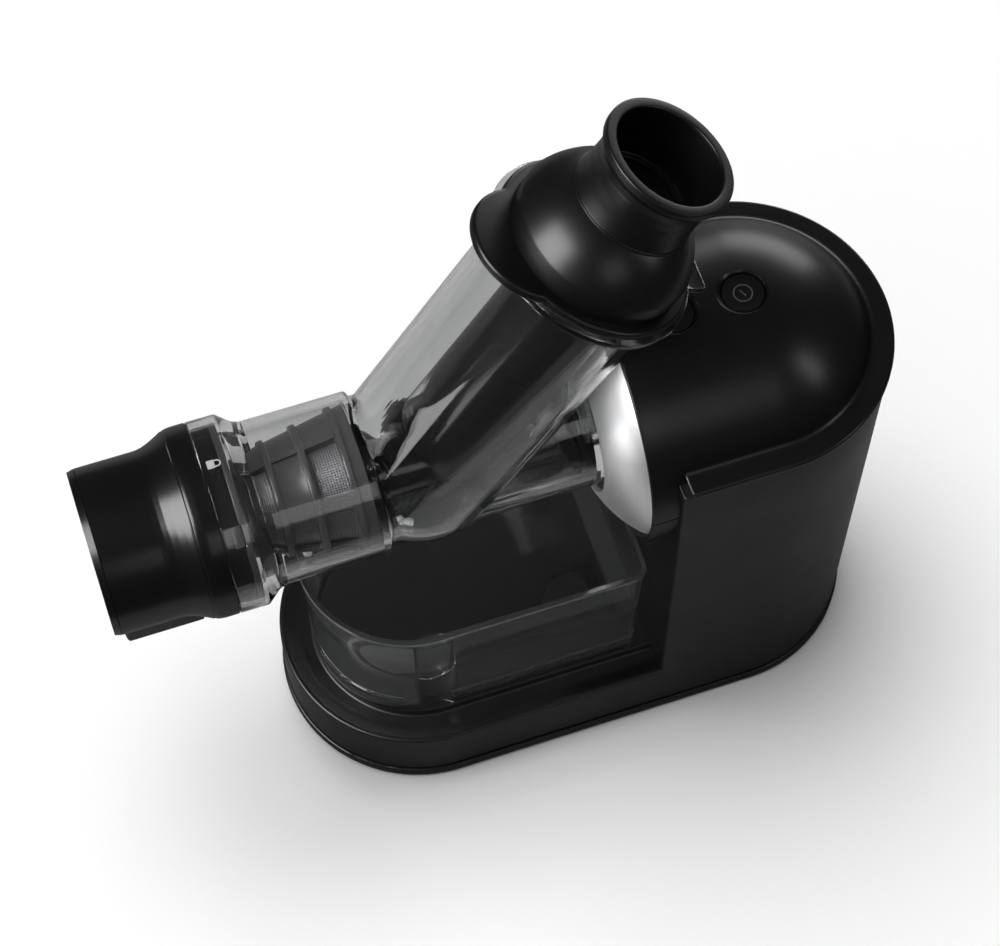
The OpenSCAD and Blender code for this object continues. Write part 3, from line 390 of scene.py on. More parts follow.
def moulded_black(name, tone, rough, grain, sheen):
    """Black moulding with the fine spark-eroded grain of its tool, a little uneven in gloss. Its gloss is a
    coat of less than full weight, because the grain swallows part of what a smooth face would mirror."""
    f = Finish(name, Specular_IOR_Level=0.04, Coat_IOR=2.0, Coat_Roughness=rough)
    flow = f.noise(28, 3)
    fine = f.noise(2600, 2, 0.6)
    f.feed("Base Color", f.blend(f.ramp(flow, 0, 1), tone, tuple(1.25 * t + 0.0005 for t in tone)))
    f.feed("Coat Weight", f.ramp(flow, sheen - 0.02, sheen + 0.02))
    f.feed("Roughness", f.ramp(fine, 0.45, 0.6))
    f.bump(fine, grain, 0.00006)
    return f.material


def clear_moulding(name, tint, rough, clear, bend, floor_shade=None):
    """Clear moulding with faint flow waves and a little haze. Given a floor colour, what lies lower than
    the fade heights, near the container's floor, takes that darker colour: painted shade for the
    container's floor and foot, which lie in shade."""
    f = Finish(name, Transmission_Weight=clear, IOR=bend)
    waves = f.noise(22, 1)
    if floor_shade:
        # Painted shade: a darker colour low down, at the container's floor.
        f.feed("Base Color", f.blend(f.ramp(f.axes()[2], 0, 1, *FLOOR_SHADE_FADE), floor_shade, tint))
    else:
        f.feed("Base Color", f.blend(f.ramp(waves, 0, 1), tint, tuple(0.985 * t for t in tint)))
    f.feed("Roughness", f.ramp(f.noise(60, 2), rough, rough + 0.012))
    f.bump(waves, 0.02, 0.0006)
    return f.material


def turned_steel(name):
    """Steel with fine turning lines round the juicing axis: noise that changes fast along the radius and
    slowly round it."""
    f = Finish(name, Metallic=1.0)
    x, y, z = f.axes()
    up = z - AXIS_H * MM
    radius = (y * y + up * up).root()
    lines = f.noise(1.0, 3, 0.7, f.vector(radius * 5200, f.turn(y, up) * 2.2, x * 900))
    f.feed("Base Color", f.blend(f.ramp(lines, 0, 1), (0.80, 0.80, 0.81), (0.85, 0.85, 0.86)))
    f.feed("Roughness", f.ramp(lines, 0.35, 0.41))
    f.bump(lines, 0.03, 0.00002)
    return f.material


def mottled(name, colour, fade, patch, rough, grain=None, **constants):
    """Plain finish. One noise, patch giving its cells per metre and its detail, takes the colour to fade
    times itself and the roughness from its low to its high end. grain gives the bump's cells per metre,
    detail, strength and distance."""
    f = Finish(name, **constants)
    patches = f.noise(*patch)
    f.feed("Base Color", f.blend(f.ramp(patches, 0, 1), colour, tuple(fade * c for c in colour)))
    f.feed("Roughness", f.ramp(patches, *rough))
    if grain:
        cells, detail, strength, distance = grain
        f.bump(f.noise(cells, detail), strength, distance)
    return f.material


def plain_metal(name, colour, rough):
    """Metal as it comes from the mill: fine scratches and a patchy sheen."""
    return mottled(name, colour, 0.82, (120, 3), (rough, rough + 0.14), (1800, 2, 0.1, 0.00004),
                   Metallic=1.0)


def rubbery(name, colour):
    """Soft rubber: matt, with a fine dusty grain."""
    return mottled(name, colour, 1.5, (1500, 3), (0.68, 0.86), (1500, 3, 0.25, 0.0001),
                   Specular_IOR_Level=0.3)


def printed_mark(name, colour):
    """Thin pad-printed ink, slightly uneven."""
    return mottled(name, colour, 0.85, (700, 2), (0.45, 0.6))


def circuit_board(name):
    """Green board with copper tracks showing under the lacquer, as a brick pattern."""
    f = Finish(name)
    tracks = f.node("ShaderNodeTexBrick", None,
                    {"Vector": f.place(), "Scale": 260.0, "Mortar Size": 0.012, "Color1": (0, 0, 0, 1),
                     "Color2": (0, 0, 0, 1), "Mortar": (1, 1, 1, 1)}, output=1)
    f.feed("Base Color", f.blend(tracks, (0.01, 0.10, 0.05), (0.04, 0.22, 0.10)))
    f.feed("Roughness", f.ramp(f.noise(300), 0.3, 0.45))
    return f.material


BLACK = moulded_black("satin_black_moulding", (0.0024, 0.0024, 0.0025), 0.32, 0.10, 0.28)
SLEEK = moulded_black("smooth_black_moulding", (0.0020, 0.0020, 0.0021), 0.24, 0.05, 0.30)
SHINY = moulded_black("polished_black_moulding", (0.0018, 0.0018, 0.0019), 0.12, 0.02, 0.36)
GREY = moulded_black("dark_grey_moulding", (0.030, 0.030, 0.031), 0.22, 0.04, 0.30)
CLEAR = clear_moulding("clear_moulding", (0.955, 0.96, 0.962), 0.0, 1.0, 1.4)
# The last colour is painted shade for the container's floor.
SMOKE = clear_moulding("smoke_moulding", (0.54, 0.55, 0.56), 0.0, 0.968, 1.4, (0.20, 0.205, 0.21))
CONE = turned_steel("turned_steel")
STEEL = plain_metal("plain_steel", (0.60, 0.61, 0.63), 0.28)
IRON = plain_metal("laminated_iron", (0.24, 0.24, 0.26), 0.45)
BRONZE = plain_metal("sintered_bronze", (0.50, 0.36, 0.18), 0.42)
RUBBER = rubbery("black_rubber", (0.016, 0.016, 0.016))
SILICONE = rubbery("grey_silicone", (0.42, 0.44, 0.44))
NYLON = mottled("natural_nylon", (0.78, 0.75, 0.66), 0.93, (90, 3), (0.42, 0.52), (900, 2, 0.12, 0.00005),
                Subsurface_Weight=0.05)
BOARD = circuit_board("circuit_board")
INK = printed_mark("pale_grey_ink", (0.45, 0.45, 0.46))
FAINT = printed_mark("dark_grey_ink", (0.055, 0.055, 0.058))


# --- Body ---

def make_tray():
    """Low part of the body: one section, from the outer wall over the rim, down the shallow slope and up
    on the container's pad, carried round the racetrack from the tower's face and back to it."""
    section = rounded(
        [(0, SEAM_Z), (BODY_R, SEAM_Z), (BODY_R, TRAY_Z), (62.6, TRAY_Z), (56.5, 37.6), (50.2, 37.6),
         (48.4, PAD_Z), (0, PAD_Z)],
        [0, 0.4, 1.3, 1.0, 7.0, 1.6, 0.8, 0])
    skin = sweep(section, racetrack(TRAY_X, FACE_X + 2, "left"))
    skirt = skin.copy()
    skirt[..., 2] = SEAM_Z
    ends = [np.stack([skin[:, i], skirt[:, i]]) for i in (0, -1)]
    mesh = raw_mesh("tray", [(skin, False, False)] + [(end, False, False) for end in ends])
    place("tray", mesh, "housing", BLACK, "black_plastic", ["lower_housing"])


def tower_outline():
    """D-shaped plan of the tower, anticlockwise: flat to the left with small round corners, and a half
    turn to the right."""
    r, corner = BODY_R, 2.0
    x, y = FACE_X + corner, r - corner
    straight = np.linspace(x, TOWER_X, 13)[1:-1]
    face = np.linspace(y, -y, 17)[1:-1]
    return np.vstack([
        arc(x, -y, corner, 180, 270, 6),
        np.column_stack([straight, np.full(len(straight), -r)]),
        arc(TOWER_X, 0, r, -90, 90, 96),
        np.column_stack([straight[::-1], np.full(len(straight), r)]),
        arc(x, y, corner, 90, 180, 6),
        np.column_stack([np.full(len(face), FACE_X), face]),
    ])


def make_tower():
    """Upright part of the body: the D-shaped plan carried up to the seam under the top cover."""
    top = LID_Z - 0.35
    levels = [(0, z) for z in (SEAM_Z, 30, TRAY_Z, 90, 140, 190, top - 0.5)]
    edge = np.vstack([levels, arc(0.5, top - 0.5, -0.5, 0, -90, 4)[1:]])
    skin = prism(tower_outline(), edge)
    place("tower", slab("tower", skin), "housing", BLACK, "black_plastic", ["lower_housing"])


def make_collar():
    """Ring that the cone sits in, turned about the juicing axis, with the parting line of the two body
    mouldings as a fine groove across it at the height of the axis."""
    ring = rounded([(FACE_X, BULLET_R), (COLLAR_X, BULLET_R), (COLLAR_X, BULLET_R - 2),
                    (COLLAR_X + 5, BULLET_R - 2), (COLLAR_X + 5, 43), (COLLAR_X + 8, 43), (FACE_X, 52)],
                   [0, 0.95, 0.95, 0.5, 0, 0, 0])
    offsets = np.radians([-0.7, -0.45, -0.3, -0.15, 0, 0.15, 0.3, 0.45, 0.7])
    steps = np.arange(0, 360, 2.5)
    angles = np.sort(np.concatenate([np.radians(steps[steps % 180 != 90]), TURN / 4 + offsets,
                                     3 * TURN / 4 + offsets]))

    def parting(a, r):
        across = np.minimum(abs(a - TURN / 4), abs(a - 3 * TURN / 4)) * BULLET_R
        return r - 0.35 * np.exp(-(across / 0.28) ** 2) * (r > BULLET_R - 1.2)

    mesh = raw_mesh("drive_collar", [(lathe_x(ring, angles, parting), True, True)])
    place("drive_collar", mesh, "housing", BLACK, "black_plastic", ["lower_housing"])


def button_well(x):
    """Cutter for a button's well: a round hole through the hood with a bevelled mouth."""
    top = AXIS_H + BULLET_R
    wall = [(0, top - 16), (WELL_R, top - 16), (WELL_R, top - 2.3), (9.7, top - 1.5), (11.2, top - 0.4),
            (13.6, top + 1.4), (0, top + 1.4)]
    return raw_mesh("well", [(lathe_z(wall, x), False, True)])


def make_hood():
    """Bullet-shaped hood: a quarter circle about the juicing axis carried round the racetrack of no width,
    so that it is a half cylinder that ends in a quarter ball, with its wall and the two button wells."""
    low = LID_Z - 1.5
    outer_end = math.degrees(math.asin((low - AXIS_H) / BULLET_R))
    inner = BULLET_R - 2.5
    inner_end = math.degrees(math.asin((low - AXIS_H) / inner))
    section = np.vstack([arc(0, AXIS_H, BULLET_R, 90, outer_end, 64),
                         arc(0, AXIS_H, inner, inner_end, 90, 32)])
    section[0, 0] = section[-1, 0] = 0
    skin = sweep(section, racetrack(FACE_X, TOWER_X, "right", straight=28, turn=96))
    mesh = raw_mesh("hood", [(skin, False, False), (skin[:, 0],), (skin[:, -1],)])
    mesh = carve(mesh, [button_well(POWER_X), button_well(REVERSE_X)])
    sleeve = [(WELL_R, SLEEVE_Z), (11, SLEEVE_Z), (11, 261.5), (WELL_R, 261.5)]
    sleeves = [raw_mesh("sleeve", [(lathe_z(sleeve, x), True, True)]) for x in (POWER_X, REVERSE_X)]
    place("hood", merged("hood", [mesh] + sleeves), "housing", BLACK, "black_plastic",
          ["top_cover"], crease=28)


def make_lip():
    """Lip of the hood: land, rounded outer edge and the fillet up to the bullet, carried round the
    tower. Near its two cut ends the lip is drawn in and down, which rounds its corners."""
    top, out, fillet_r = LID_Z + LIP_T, BODY_R + LIP_OUT, 4.0
    centre_d = math.sqrt((BULLET_R + fillet_r) ** 2 - (top + fillet_r - AXIS_H) ** 2)
    slope = math.degrees(math.atan2(top + fillet_r - AXIS_H, centre_d))
    fillet = arc(centre_d, top + fillet_r, fillet_r, 270, 180 + slope, 8)
    edge = rounded([(57, LID_Z), (out, LID_Z), (out, top), (centre_d, top)], [0, 0.6, 1.5, 0])
    section = np.vstack([edge, fillet[1:], [(fillet[-1, 0] - 1.5, fillet[-1, 1] - 1.5)]])
    start, straight = FACE_X + 3, 40
    centre, normal = racetrack(start, TOWER_X, "right", straight, turn=96)
    near = (TOWER_X - start) * (1 - np.cos(np.linspace(0, math.pi / 2, straight + 1)))
    centre[:len(near), 0] = start + near
    centre[-len(near):, 0] = start + near[::-1]
    skin = sweep(section, (centre, normal))
    from_end = np.where(normal[:, 0] > 1e-9, 99.0, centre[:, 0] - start)
    corner, roll = 2.0, 1.0
    draw_in = corner - np.sqrt(np.maximum(0, corner ** 2 - np.maximum(0, corner - from_end) ** 2))
    drop = roll - np.sqrt(np.maximum(0, roll ** 2 - np.maximum(0, roll - from_end) ** 2))
    outer = np.clip((section[:, 0] - 60) / 5, 0, 1)[:, None]
    skin[..., 1] -= np.sign(skin[..., 1]) * outer * draw_in
    high = (section[:, 1] > LID_Z + 1.5)[:, None]
    skin[..., 2] -= high * drop
    place("hood_lip", strip("hood_lip", skin), "housing", BLACK, "black_plastic", ["top_cover"],
          crease=40)


def make_cone():
    """Dished steel cone: an arc that bulges towards the chamber, turned about the juicing axis, with a
    rolled edge at each end."""
    small, big, bow = (37.4, 37.2), (51.9, 59.35), 51.0
    chord = np.subtract(big, small)
    length = np.hypot(*chord)
    unit = chord / length
    mid = np.add(small, big) / 2 + np.array([unit[1], -unit[0]]) * math.sqrt(bow ** 2 - length ** 2 / 4)
    ends = [math.degrees(math.atan2(r - mid[1], x - mid[0])) for x, r in (small, big)]
    face = arc(*mid, bow, *ends, 28)
    ring = np.vstack([[(44.0, 37.0), (38.4, 36.6), (37.5, 36.8)], face,
                      [(52.1, 59.45), (52.6, 59.45), (53.0, 59.0), (53.0, 57.5)],
                      face[::-1][4:-3] + (1.0, -0.5), [(44.0, 37.8)]])
    mesh = raw_mesh("steel_cone_skin", [(lathe_x(ring, circle(192)), True, True)])
    place("steel_cone_skin", mesh, "housing", CONE, "brushed_steel", ["steel_cone"], crease=40)


# --- Buttons ---

def make_button(name, x, node):
    """Button cap with a slightly dished top and a rounded edge."""
    middle, dish_r = AXIS_H + BULLET_R - 2.2, 120
    across = np.linspace(CAP_R, 0, 11)
    dish = np.column_stack([across, middle + dish_r - np.sqrt(dish_r ** 2 - across ** 2)])
    side = rounded([(0, 251), (2, 251), (2, SLEEVE_Z), (10.4, SLEEVE_Z), (10.4, 257.2), (9.0, 257.2),
                    (9.0, dish[0, 1] + 0.05), (CAP_R, dish[0, 1])],
                   [0, 0, 0.2, 0.2, 0.2, 0.1, 0.5, 0])
    mesh = raw_mesh(name, [(lathe_z(np.vstack([side, dish[1:]]), x), False, True)])
    place(name, mesh, node, BLACK, "black_plastic", [node])


def make_symbol(name, x, body, kind):
    """Printed symbol on a button, as a thin raised print: a ring with a bar in it for power, a hooked
    arrow for reverse."""
    z = AXIS_H + BULLET_R - 2.13
    z_low, z_high = z - 0.1, z + 0.03
    r, half = 3.9, 0.28
    ring = [(r - half, z_low), (r + half, z_low), (r + half, z_high), (r - half, z_high)]
    if kind == "power":
        parts = [raw_mesh(name, [(lathe_z(ring, x), True, True)])]
        bars = [((x - 0.9, 1.7), (x + 0.9, -1.7))]
    else:
        opening = math.radians(40)
        parts = [strip(name, lathe_z(ring, x, 0.0, np.linspace(opening, TURN - opening, 41)))]
        tip = np.array([x + r * math.cos(opening), r * math.sin(opening)])
        bars = [(tip, tip + (0.2, 2.0)), (tip, tip + (-2.0, 0.3))]
    parts += [bar_mesh(start, end, half, z_low, z_high) for start, end in bars]
    place(name, merged(name, parts), body, FAINT, "black_plastic")


def bar_mesh(start, end, half, z_low, z_high):
    """Flat bar between two plan points."""
    start, end = np.asarray(start, float), np.asarray(end, float)
    unit = (end - start) / np.linalg.norm(end - start)
    side = np.array([-unit[1], unit[0]]) * half
    outline = np.array([start + side, start - side, end - side, end + side])
    return slab("bar", prism(outline, [(0, z_low), (0, z_high)]))


# --- Chamber ---

def ball_tube(r, top):
    """Closed tube that starts in a half ball about its own foot."""
    profile = np.vstack([arc(0, 0, r, 270, 360, 32)[:, ::-1], [(top, r)], [(top, 0)]])
    return raw_mesh("ball_tube", [(lathe_tube(profile), False, True)])


def turned(profile):
    """Closed form turned about the juicing axis from a profile that starts and ends on it."""
    return raw_mesh("turned", [(lathe_x(profile), False, True)])


def mouth_outline():
    """Plan of the plate round the mouth of the feed tube: a circle with a tab towards the tower."""
    r, half, tab_end = FEED_R + 7, 17, 50
    reach = math.degrees(math.asin(half / r))
    start = math.sqrt(r ** 2 - half ** 2)
    tab = rounded([(start, -half), (tab_end, -half), (tab_end, half), (start, half)],
                  [0, 2.5, 2.5, 0], 4)
    return np.vstack([tab, arc(0, 0, r, reach, 360 - reach, 96)[1:-1]])


def make_chamber():
    """Clear chamber: turned barrel, ball-ended feed tube, mouth plate, keel and spout joined, and the
    turned and ball-ended hollows cut from them."""
    outer = rounded([(FLANGE_X, 0), (FLANGE_X, FLANGE_R), (-110.5, FLANGE_R), (-108.4, 39.8),
                     (-104.5, 36.6), (-101, BARREL_R), (-55.5, BARREL_R), (-54.3, 33), (58, 33), (58, 0)],
                    [0, 0.5, 1.2, 3, 3, 2, 1.0, 0.8, 0.8, 0], 5)
    inner = [(-124, 0), (-124, 38.4), (-112, 38.4), (-112, 32.5), (-58.5, 32.5), (-58.5, 30),
             (36, 30), (36, 12), (40, 12), (40, 30), (60, 30), (60, 0)]
    plate = on_tube(prism(mouth_outline(), [(0.6, 146), (0.15, 146.15), (0, 146.6), (0, 148.4),
                                            (0.15, 148.85), (0.6, FEED_LEN)]))
    keel = on_tube(prism(rounded([(36, -1.5), (39, -1.5), (39, 1.5), (36, 1.5)], [0, 0.8, 0.8, 0]),
                         [(0, 61), (0, 147)]))
    spout = prism(rounded([(-89, -11), (-67, -11), (-67, 11), (-89, 11)], 2.5, 5, True),
                  [(0.5, 147), (0, 147.5), (0, 173)])
    way = prism(rounded([(-87, -9), (-69, -9), (-69, 9), (-87, 9)], 1.5, 5, True),
                [(0, 146), (0, 175)])
    joined = [ball_tube(FEED_R, FEED_LEN)] + [slab("slab", rings) for rings in (plate, keel, spout)]
    mesh = carve(turned(outer), joined, "UNION")
    mesh = carve(mesh, [turned(inner), ball_tube(FEED_R - FEED_WALL, FEED_LEN + 1), slab("way", way)])
    place("clear_chamber", mesh, "chamber", CLEAR, "clear_plastic", ["juicing_chamber"], crease=30)


def make_stop():
    """Small clear block on the front of the collar, beside the way in of the end cap's lugs."""
    low, high = FLANGE_R + 0.02, FLANGE_R + 2
    section = rounded([(-122.5, low), (-114.5, low), (-114.5, high), (-122.5, high)], 0.5, 4, True)
    mesh = strip("collar_stop", lathe_x(section, np.radians(np.linspace(-47.0, -34.0, 9))))
    place("collar_stop", mesh, "chamber", CLEAR, "clear_plastic")


def make_lock_mark():
    """Small printed padlock on the collar: a body and a hoop, drawn over the millimetres along the axis
    and round the collar, and bent round it."""
    def on_collar(plan):
        layers = np.array([[FLANGE_R - 0.03], [FLANGE_R + 0.1]])
        angle = math.radians(LOCK_MARK_DEG) + plan[:, 1] / FLANGE_R
        return slab("mark", about_axis(LOCK_MARK_X + plan[:, 0], layers, angle))

    body = rounded([(-2.6, -2.0), (0.6, -2.0), (0.6, 2.0), (-2.6, 2.0)], 0.4, 3, True)
    hoop = np.vstack([arc(1.6, 0, 1.7, -90, 90, 12), [(0.6, 1.7), (0.6, 1.1)],
                      arc(1.6, 0, 1.1, 90, -90, 12), [(0.6, -1.1), (0.6, -1.7)]])
    mark = merged("lock_mark", [on_collar(body), on_collar(hoop)])
    place("lock_mark", mark, "chamber", INK, "clear_plastic")


def cage_at(x):
    """Outer radius of the cone-shaped cage: a straight line from its outlet to its wide end."""
    share = (np.asarray(x, float) - CAGE_START) / (CAGE_END - CAGE_START)
    return CAGE_SMALL_R + (CAGE_BIG_R - CAGE_SMALL_R) * share


def cage_window(low, high, middle, width):
    """Cutter for a window: a rectangle with round corners over place and angle, bent round the axis and
    carried from inside the cage's wall to outside it."""
    r = float(cage_at((low + high) / 2))
    half = math.radians(width / 2) * r
    plan = rounded([(low, -half), (high, -half), (high, half), (low, half)], 1.2, 3, closed=True)
    plan = np.vstack([np.linspace(a, b, 7)[:-1] if abs(b[1] - a[1]) > half else a[None]
                      for a, b in zip(plan, np.roll(plan, -1, 0))])
    layers = np.array([[14.0], [34.0]])
    return slab("window", about_axis(plan[:, 0], layers, math.radians(middle) + plan[:, 1] / r))


def make_cage():
    """Strainer cage: one profile with flange, wall and hoops turned about the juicing axis, and the
    windows cut between the hoops, all round but for one place at the top."""
    flange_end, flange_r, rise = -112.1, 38.1, 1.5
    corners = [(CAGE_START, CAGE_SMALL_R - CAGE_WALL), (CAGE_START, flange_r), (flange_end, flange_r),
               (flange_end, float(cage_at(flange_end)))]
    radii = [0, 0.4, 0.4, 1.2]
    for x in CAGE_HOOPS:
        corners += [(end, float(cage_at(end)) + up) for end, up in
                    ((x - HOOP_HALF, 0), (x - HOOP_HALF, rise), (x + HOOP_HALF, rise), (x + HOOP_HALF, 0))]
        radii += [0.4, 0.6, 0.6, 0.4]
    corners += [(CAGE_END, CAGE_BIG_R), (CAGE_END, CAGE_BIG_R - CAGE_WALL)]
    radii += [0.4, 0]
    mesh = raw_mesh("cage", [(lathe_x(rounded(corners, radii, 3), circle(120)), True, True)])
    starts = [-108.0] + [x + HOOP_HALF for x in CAGE_HOOPS]
    rows = [(low, x - HOOP_HALF) for low, x in zip(starts, CAGE_HOOPS)]
    windows = [cage_window(low, high, 44 - 60 * i, 48) for i in range(1, 6) for low, high in rows]
    mesh = carve(mesh, [merged("windows", windows)])
    rib_x = (CAGE_START + 3, CAGE_HOOPS[2])
    rib = np.array([(rib_x[0], -1.0), (rib_x[0], 1.2), (rib_x[1], 1.2), (rib_x[1], -1.0)])
    rib[:, 1] += cage_at(rib[:, 0])
    rib_mesh = strip("rib", lathe_x(rounded(rib, 0.4, 3, True), np.radians(np.linspace(8, 12, 5))))
    place("cage", merged("cage", [mesh, rib_mesh]), "chamber", GREY, "dark_plastic",
          ["strainer_cage"])


def make_sieve():
    """Thin sieve cone inside the cage."""
    outside = [(x, float(cage_at(x)) - CAGE_WALL - 0.05) for x in (CAGE_START, CAGE_END)]
    inside = [(x, r - 0.5) for x, r in outside[::-1]]
    mesh = raw_mesh("sieve", [(lathe_x(outside + inside, circle(128)), True, True)])
    place("sieve", mesh, "chamber", sieve_steel(), "steel", ["strainer_mesh"])


def sieve_steel():
    """Perforated steel: rows of small round holes over the unrolled cone. The holes are only part clear and
    carry a dark colour: painted shade for the dark inside seen through them.
    """
    f = Finish("perforated_steel", Metallic=0.7)
    x, y, z = f.axes()
    spot = f.vector(x * 900, f.turn(y, z - AXIS_H * MM) * 24.8, 0.0)
    cells = f.node("ShaderNodeTexVoronoi", {"feature": "F1"},
                   {"Vector": spot, "Scale": 1.0, "Randomness": 0.0})
    web = f.ramp(cells, 0, 1, 0.22, 0.34)
    # Painted shade: the holes stay partly opaque and darker than the metal.
    f.feed("Alpha", web * 0.6 + 0.4)
    f.feed("Base Color", f.blend(web, (0.03, 0.03, 0.03), (0.12, 0.12, 0.125)))
    f.feed("Roughness", f.ramp(f.noise(300), 0.38, 0.46))
    return f.material


# --- Auger ---

def make_auger():
    """Screw whose radius is a function of the place along the axis and of the angle from the crest of its
    first flight: the core, which swells towards the outlet, plus the flight's height times a trapezoid
    with soft ends. The second flight grows where the strainer begins, and the crests follow the
    strainer's cone. The pitch is short in the strainer and long under the feed tube."""
    turns_screen = (SCREEN_X - OUTLET_X) / PITCH_SCREEN
    turns = turns_screen + (DRIVE_X - DISC_T - SCREEN_X) / PITCH_FEED
    t = np.linspace(0, turns, 420)
    x = np.where(t < turns_screen, OUTLET_X + PITCH_SCREEN * t,
                 SCREEN_X + PITCH_FEED * (t - turns_screen))[:, None]
    a = np.linspace(0, 360, 97)[:-1][None]

    def rise(angle):
        off = abs((angle + 540) % 360 - 180)
        flank = np.clip((48 - off) / 24, 0, 1)
        return flank * flank * (3 - 2 * flank)

    core = CORE_R + np.maximum(0, (SCREEN_X - x) / (SCREEN_X - OUTLET_X))
    second = np.clip((SCREEN_X + 8 - x) / 16, 0, 1)
    crest = np.minimum(CREST_R, cage_at(x) - 3.6)
    r = core + (crest - core) * np.maximum(rise(a), second * rise(a + 180))
    phase = t[:, None] * TURN + np.radians(a)
    screw = np.stack([np.broadcast_to(x, r.shape), r * np.cos(phase), AXIS_H + r * np.sin(phase)], -1)
    disc = turned(rounded([(DRIVE_X - DISC_T, 0), (DRIVE_X - DISC_T, DISC_R), (DRIVE_X, DISC_R),
                           (DRIVE_X, 0)], [0, 0.6, 0.6, 0], 3))
    nose = turned([(-128, 0), (-128, NOSE_R - 0.6), (-127.4, NOSE_R), (-115, NOSE_R), (-115, 0)])
    place("screw", merged("screw", [slab("screw", screw), disc, nose]), "auger_drive", SHINY,
          "dark_plastic", ["auger"], crease=50)


# --- End cap ---

def cap_radius(x):
    """Radius of the cap's barrel and flange along the axis: a straight barrel, then an S-curve up to the
    collar's radius."""
    stations = [CAP_X, -172.5, -148.0, -145.5, -143.0, -139.8, -136.4, -134.2, -132.0, -129.5, CAP_SEAM]
    radii = [35.2, 36.0, 36.0, 36.1, 36.6, 37.8, 39.4, 40.6, 41.2, FLANGE_R, FLANGE_R]
    return np.interp(x, stations, radii)


def make_cap():
    """End cap. Its outer face gives the radius over place and angle: the barrel, joined by a soft maximum
    to a square chute that hangs under it. The hollow, the pulp's way out and the skirt follow."""
    chute_start, chute_end, chute_low, chute_half = -172.6, -135.5, 43, 24
    runs = [(-174.0, chute_start, 6), (chute_start, -171, 9), (-171, -150, 24), (-150, -130, 60),
            (-130, -123.9, 8)]
    x = np.concatenate([[CAP_X], CAP_X + 0.9 * (1 - np.cos(np.linspace(0.4, 1.57, 5)))]
                       + [np.linspace(*run)[1:] for run in runs] + [[-123.6, -123.4, CAP_SEAM]])
    a = np.radians(np.sort(np.concatenate([np.linspace(0, 360, 181)[:-1], np.arange(121, 240, 2.0)])))
    r = cap_radius(x)[:, None] * np.ones_like(a)
    below = -np.cos(a)
    square = np.minimum(chute_low / np.maximum(below, 1e-3),
                        chute_half / np.maximum(abs(np.sin(a)), 1e-3))
    soft = 2.2
    box_r = np.minimum(np.where(below > 0, square, 0), 52)
    grow = np.clip((x - chute_start) / 2.0, 0, 1) * np.clip((chute_end - x) / 5.0 + 0.5, 0, 1)
    grow = (grow * grow * (3 - 2 * grow))[:, None]
    reach = r + (box_r - r) * grow
    gap = np.clip(0.5 + 0.5 * (reach - r) / soft, 0, 1)
    r = r + (reach - r) * gap + soft * gap * (1 - gap) * (box_r > r - 3) * grow
    r[x > -123.5] -= 0.3
    skin = about_axis(x[:, None], r, a)
    inner = rounded([(CAP_SEAM, 0), (CAP_SEAM, 38.8), (-131, 38.8), (-136, 36), (-143, 33.5),
                     (chute_start, 33.5), (-173, 0)], [0, 0, 1, 3, 3, 2, 0])
    inner[:2, 0] = -122
    end = np.stack([skin[0] + (np.array([CAP_X, 0, AXIS_H]) - skin[0]) * k for k in np.linspace(0, 1, 8)])
    mesh = raw_mesh("cap", [(skin, False, True), (end, False, True), (skin[-1],)])
    way = prism(rounded([(-167.5, -21.5), (-138, -21.5), (-138, 21.5), (-167.5, 21.5)], 2, 5, True),
                [(0, 155), (0, 193)])
    mesh = carve(mesh, [turned(inner), slab("way", way)])
    skirt = raw_mesh("skirt", [(lathe_x([(-135, 35.6), (-135, 38.1), (-115.3, 38.1), (-115.3, 35.6)]),
                                True, True)])
    place("cap", merged("cap", [mesh, skirt]), "end_cap", SLEEK, "gloss_black", ["end_cap"],
          crease=34)


# --- Pusher ---

def make_plunger():
    """Pusher's plunger: a tube whose lower end follows a saddle, a cylinder about the juicing axis. For
    each direction round the tube the end lies where the wall meets the saddle."""
    shift, r, saddle, soft = 7.0, 23.0, 26.9, 1.2
    a = circle(160)
    across = shift + r * np.cos(a)
    back = r * np.sin(a)
    c, s = math.cos(FEED_TILT), math.sin(FEED_TILT)

    def saddle_height(across, back):
        return (np.sqrt(np.maximum(0, saddle ** 2 - back ** 2)) + across * s) / c

    foot = saddle_height(across, back)
    levels = np.linspace(0, 1, 10)[:, None]
    edge = np.radians([90, 60, 30, 0])[:, None]
    ring_r = np.vstack([r - soft + soft * np.cos(edge) * np.ones_like(a), np.full((10, len(a)), r)])
    ring_s = np.vstack([foot + soft - soft * np.sin(edge),
                        foot + soft + (FEED_LEN - foot - soft) * levels])
    wall = np.stack([shift + ring_r * np.cos(a), ring_r * np.sin(a), ring_s], -1)
    k = np.linspace(0, 1, 16)[:, None]
    flat_a = shift + (wall[0, :, 0] - shift) * k
    flat_b = wall[0, :, 1] * k
    sole = np.stack([flat_a, flat_b, saddle_height(flat_a, flat_b)
                     + (wall[0, :, 2] - saddle_height(wall[0, :, 0], wall[0, :, 1])) * k], -1)
    mesh = raw_mesh("plunger", [(on_tube(wall), False, True), (on_tube(sole), False, True),
                                (on_tube(wall[-1]),)])
    place("plunger", mesh, "pusher", SHINY, "black_plastic", ["pusher_body"], crease=40)


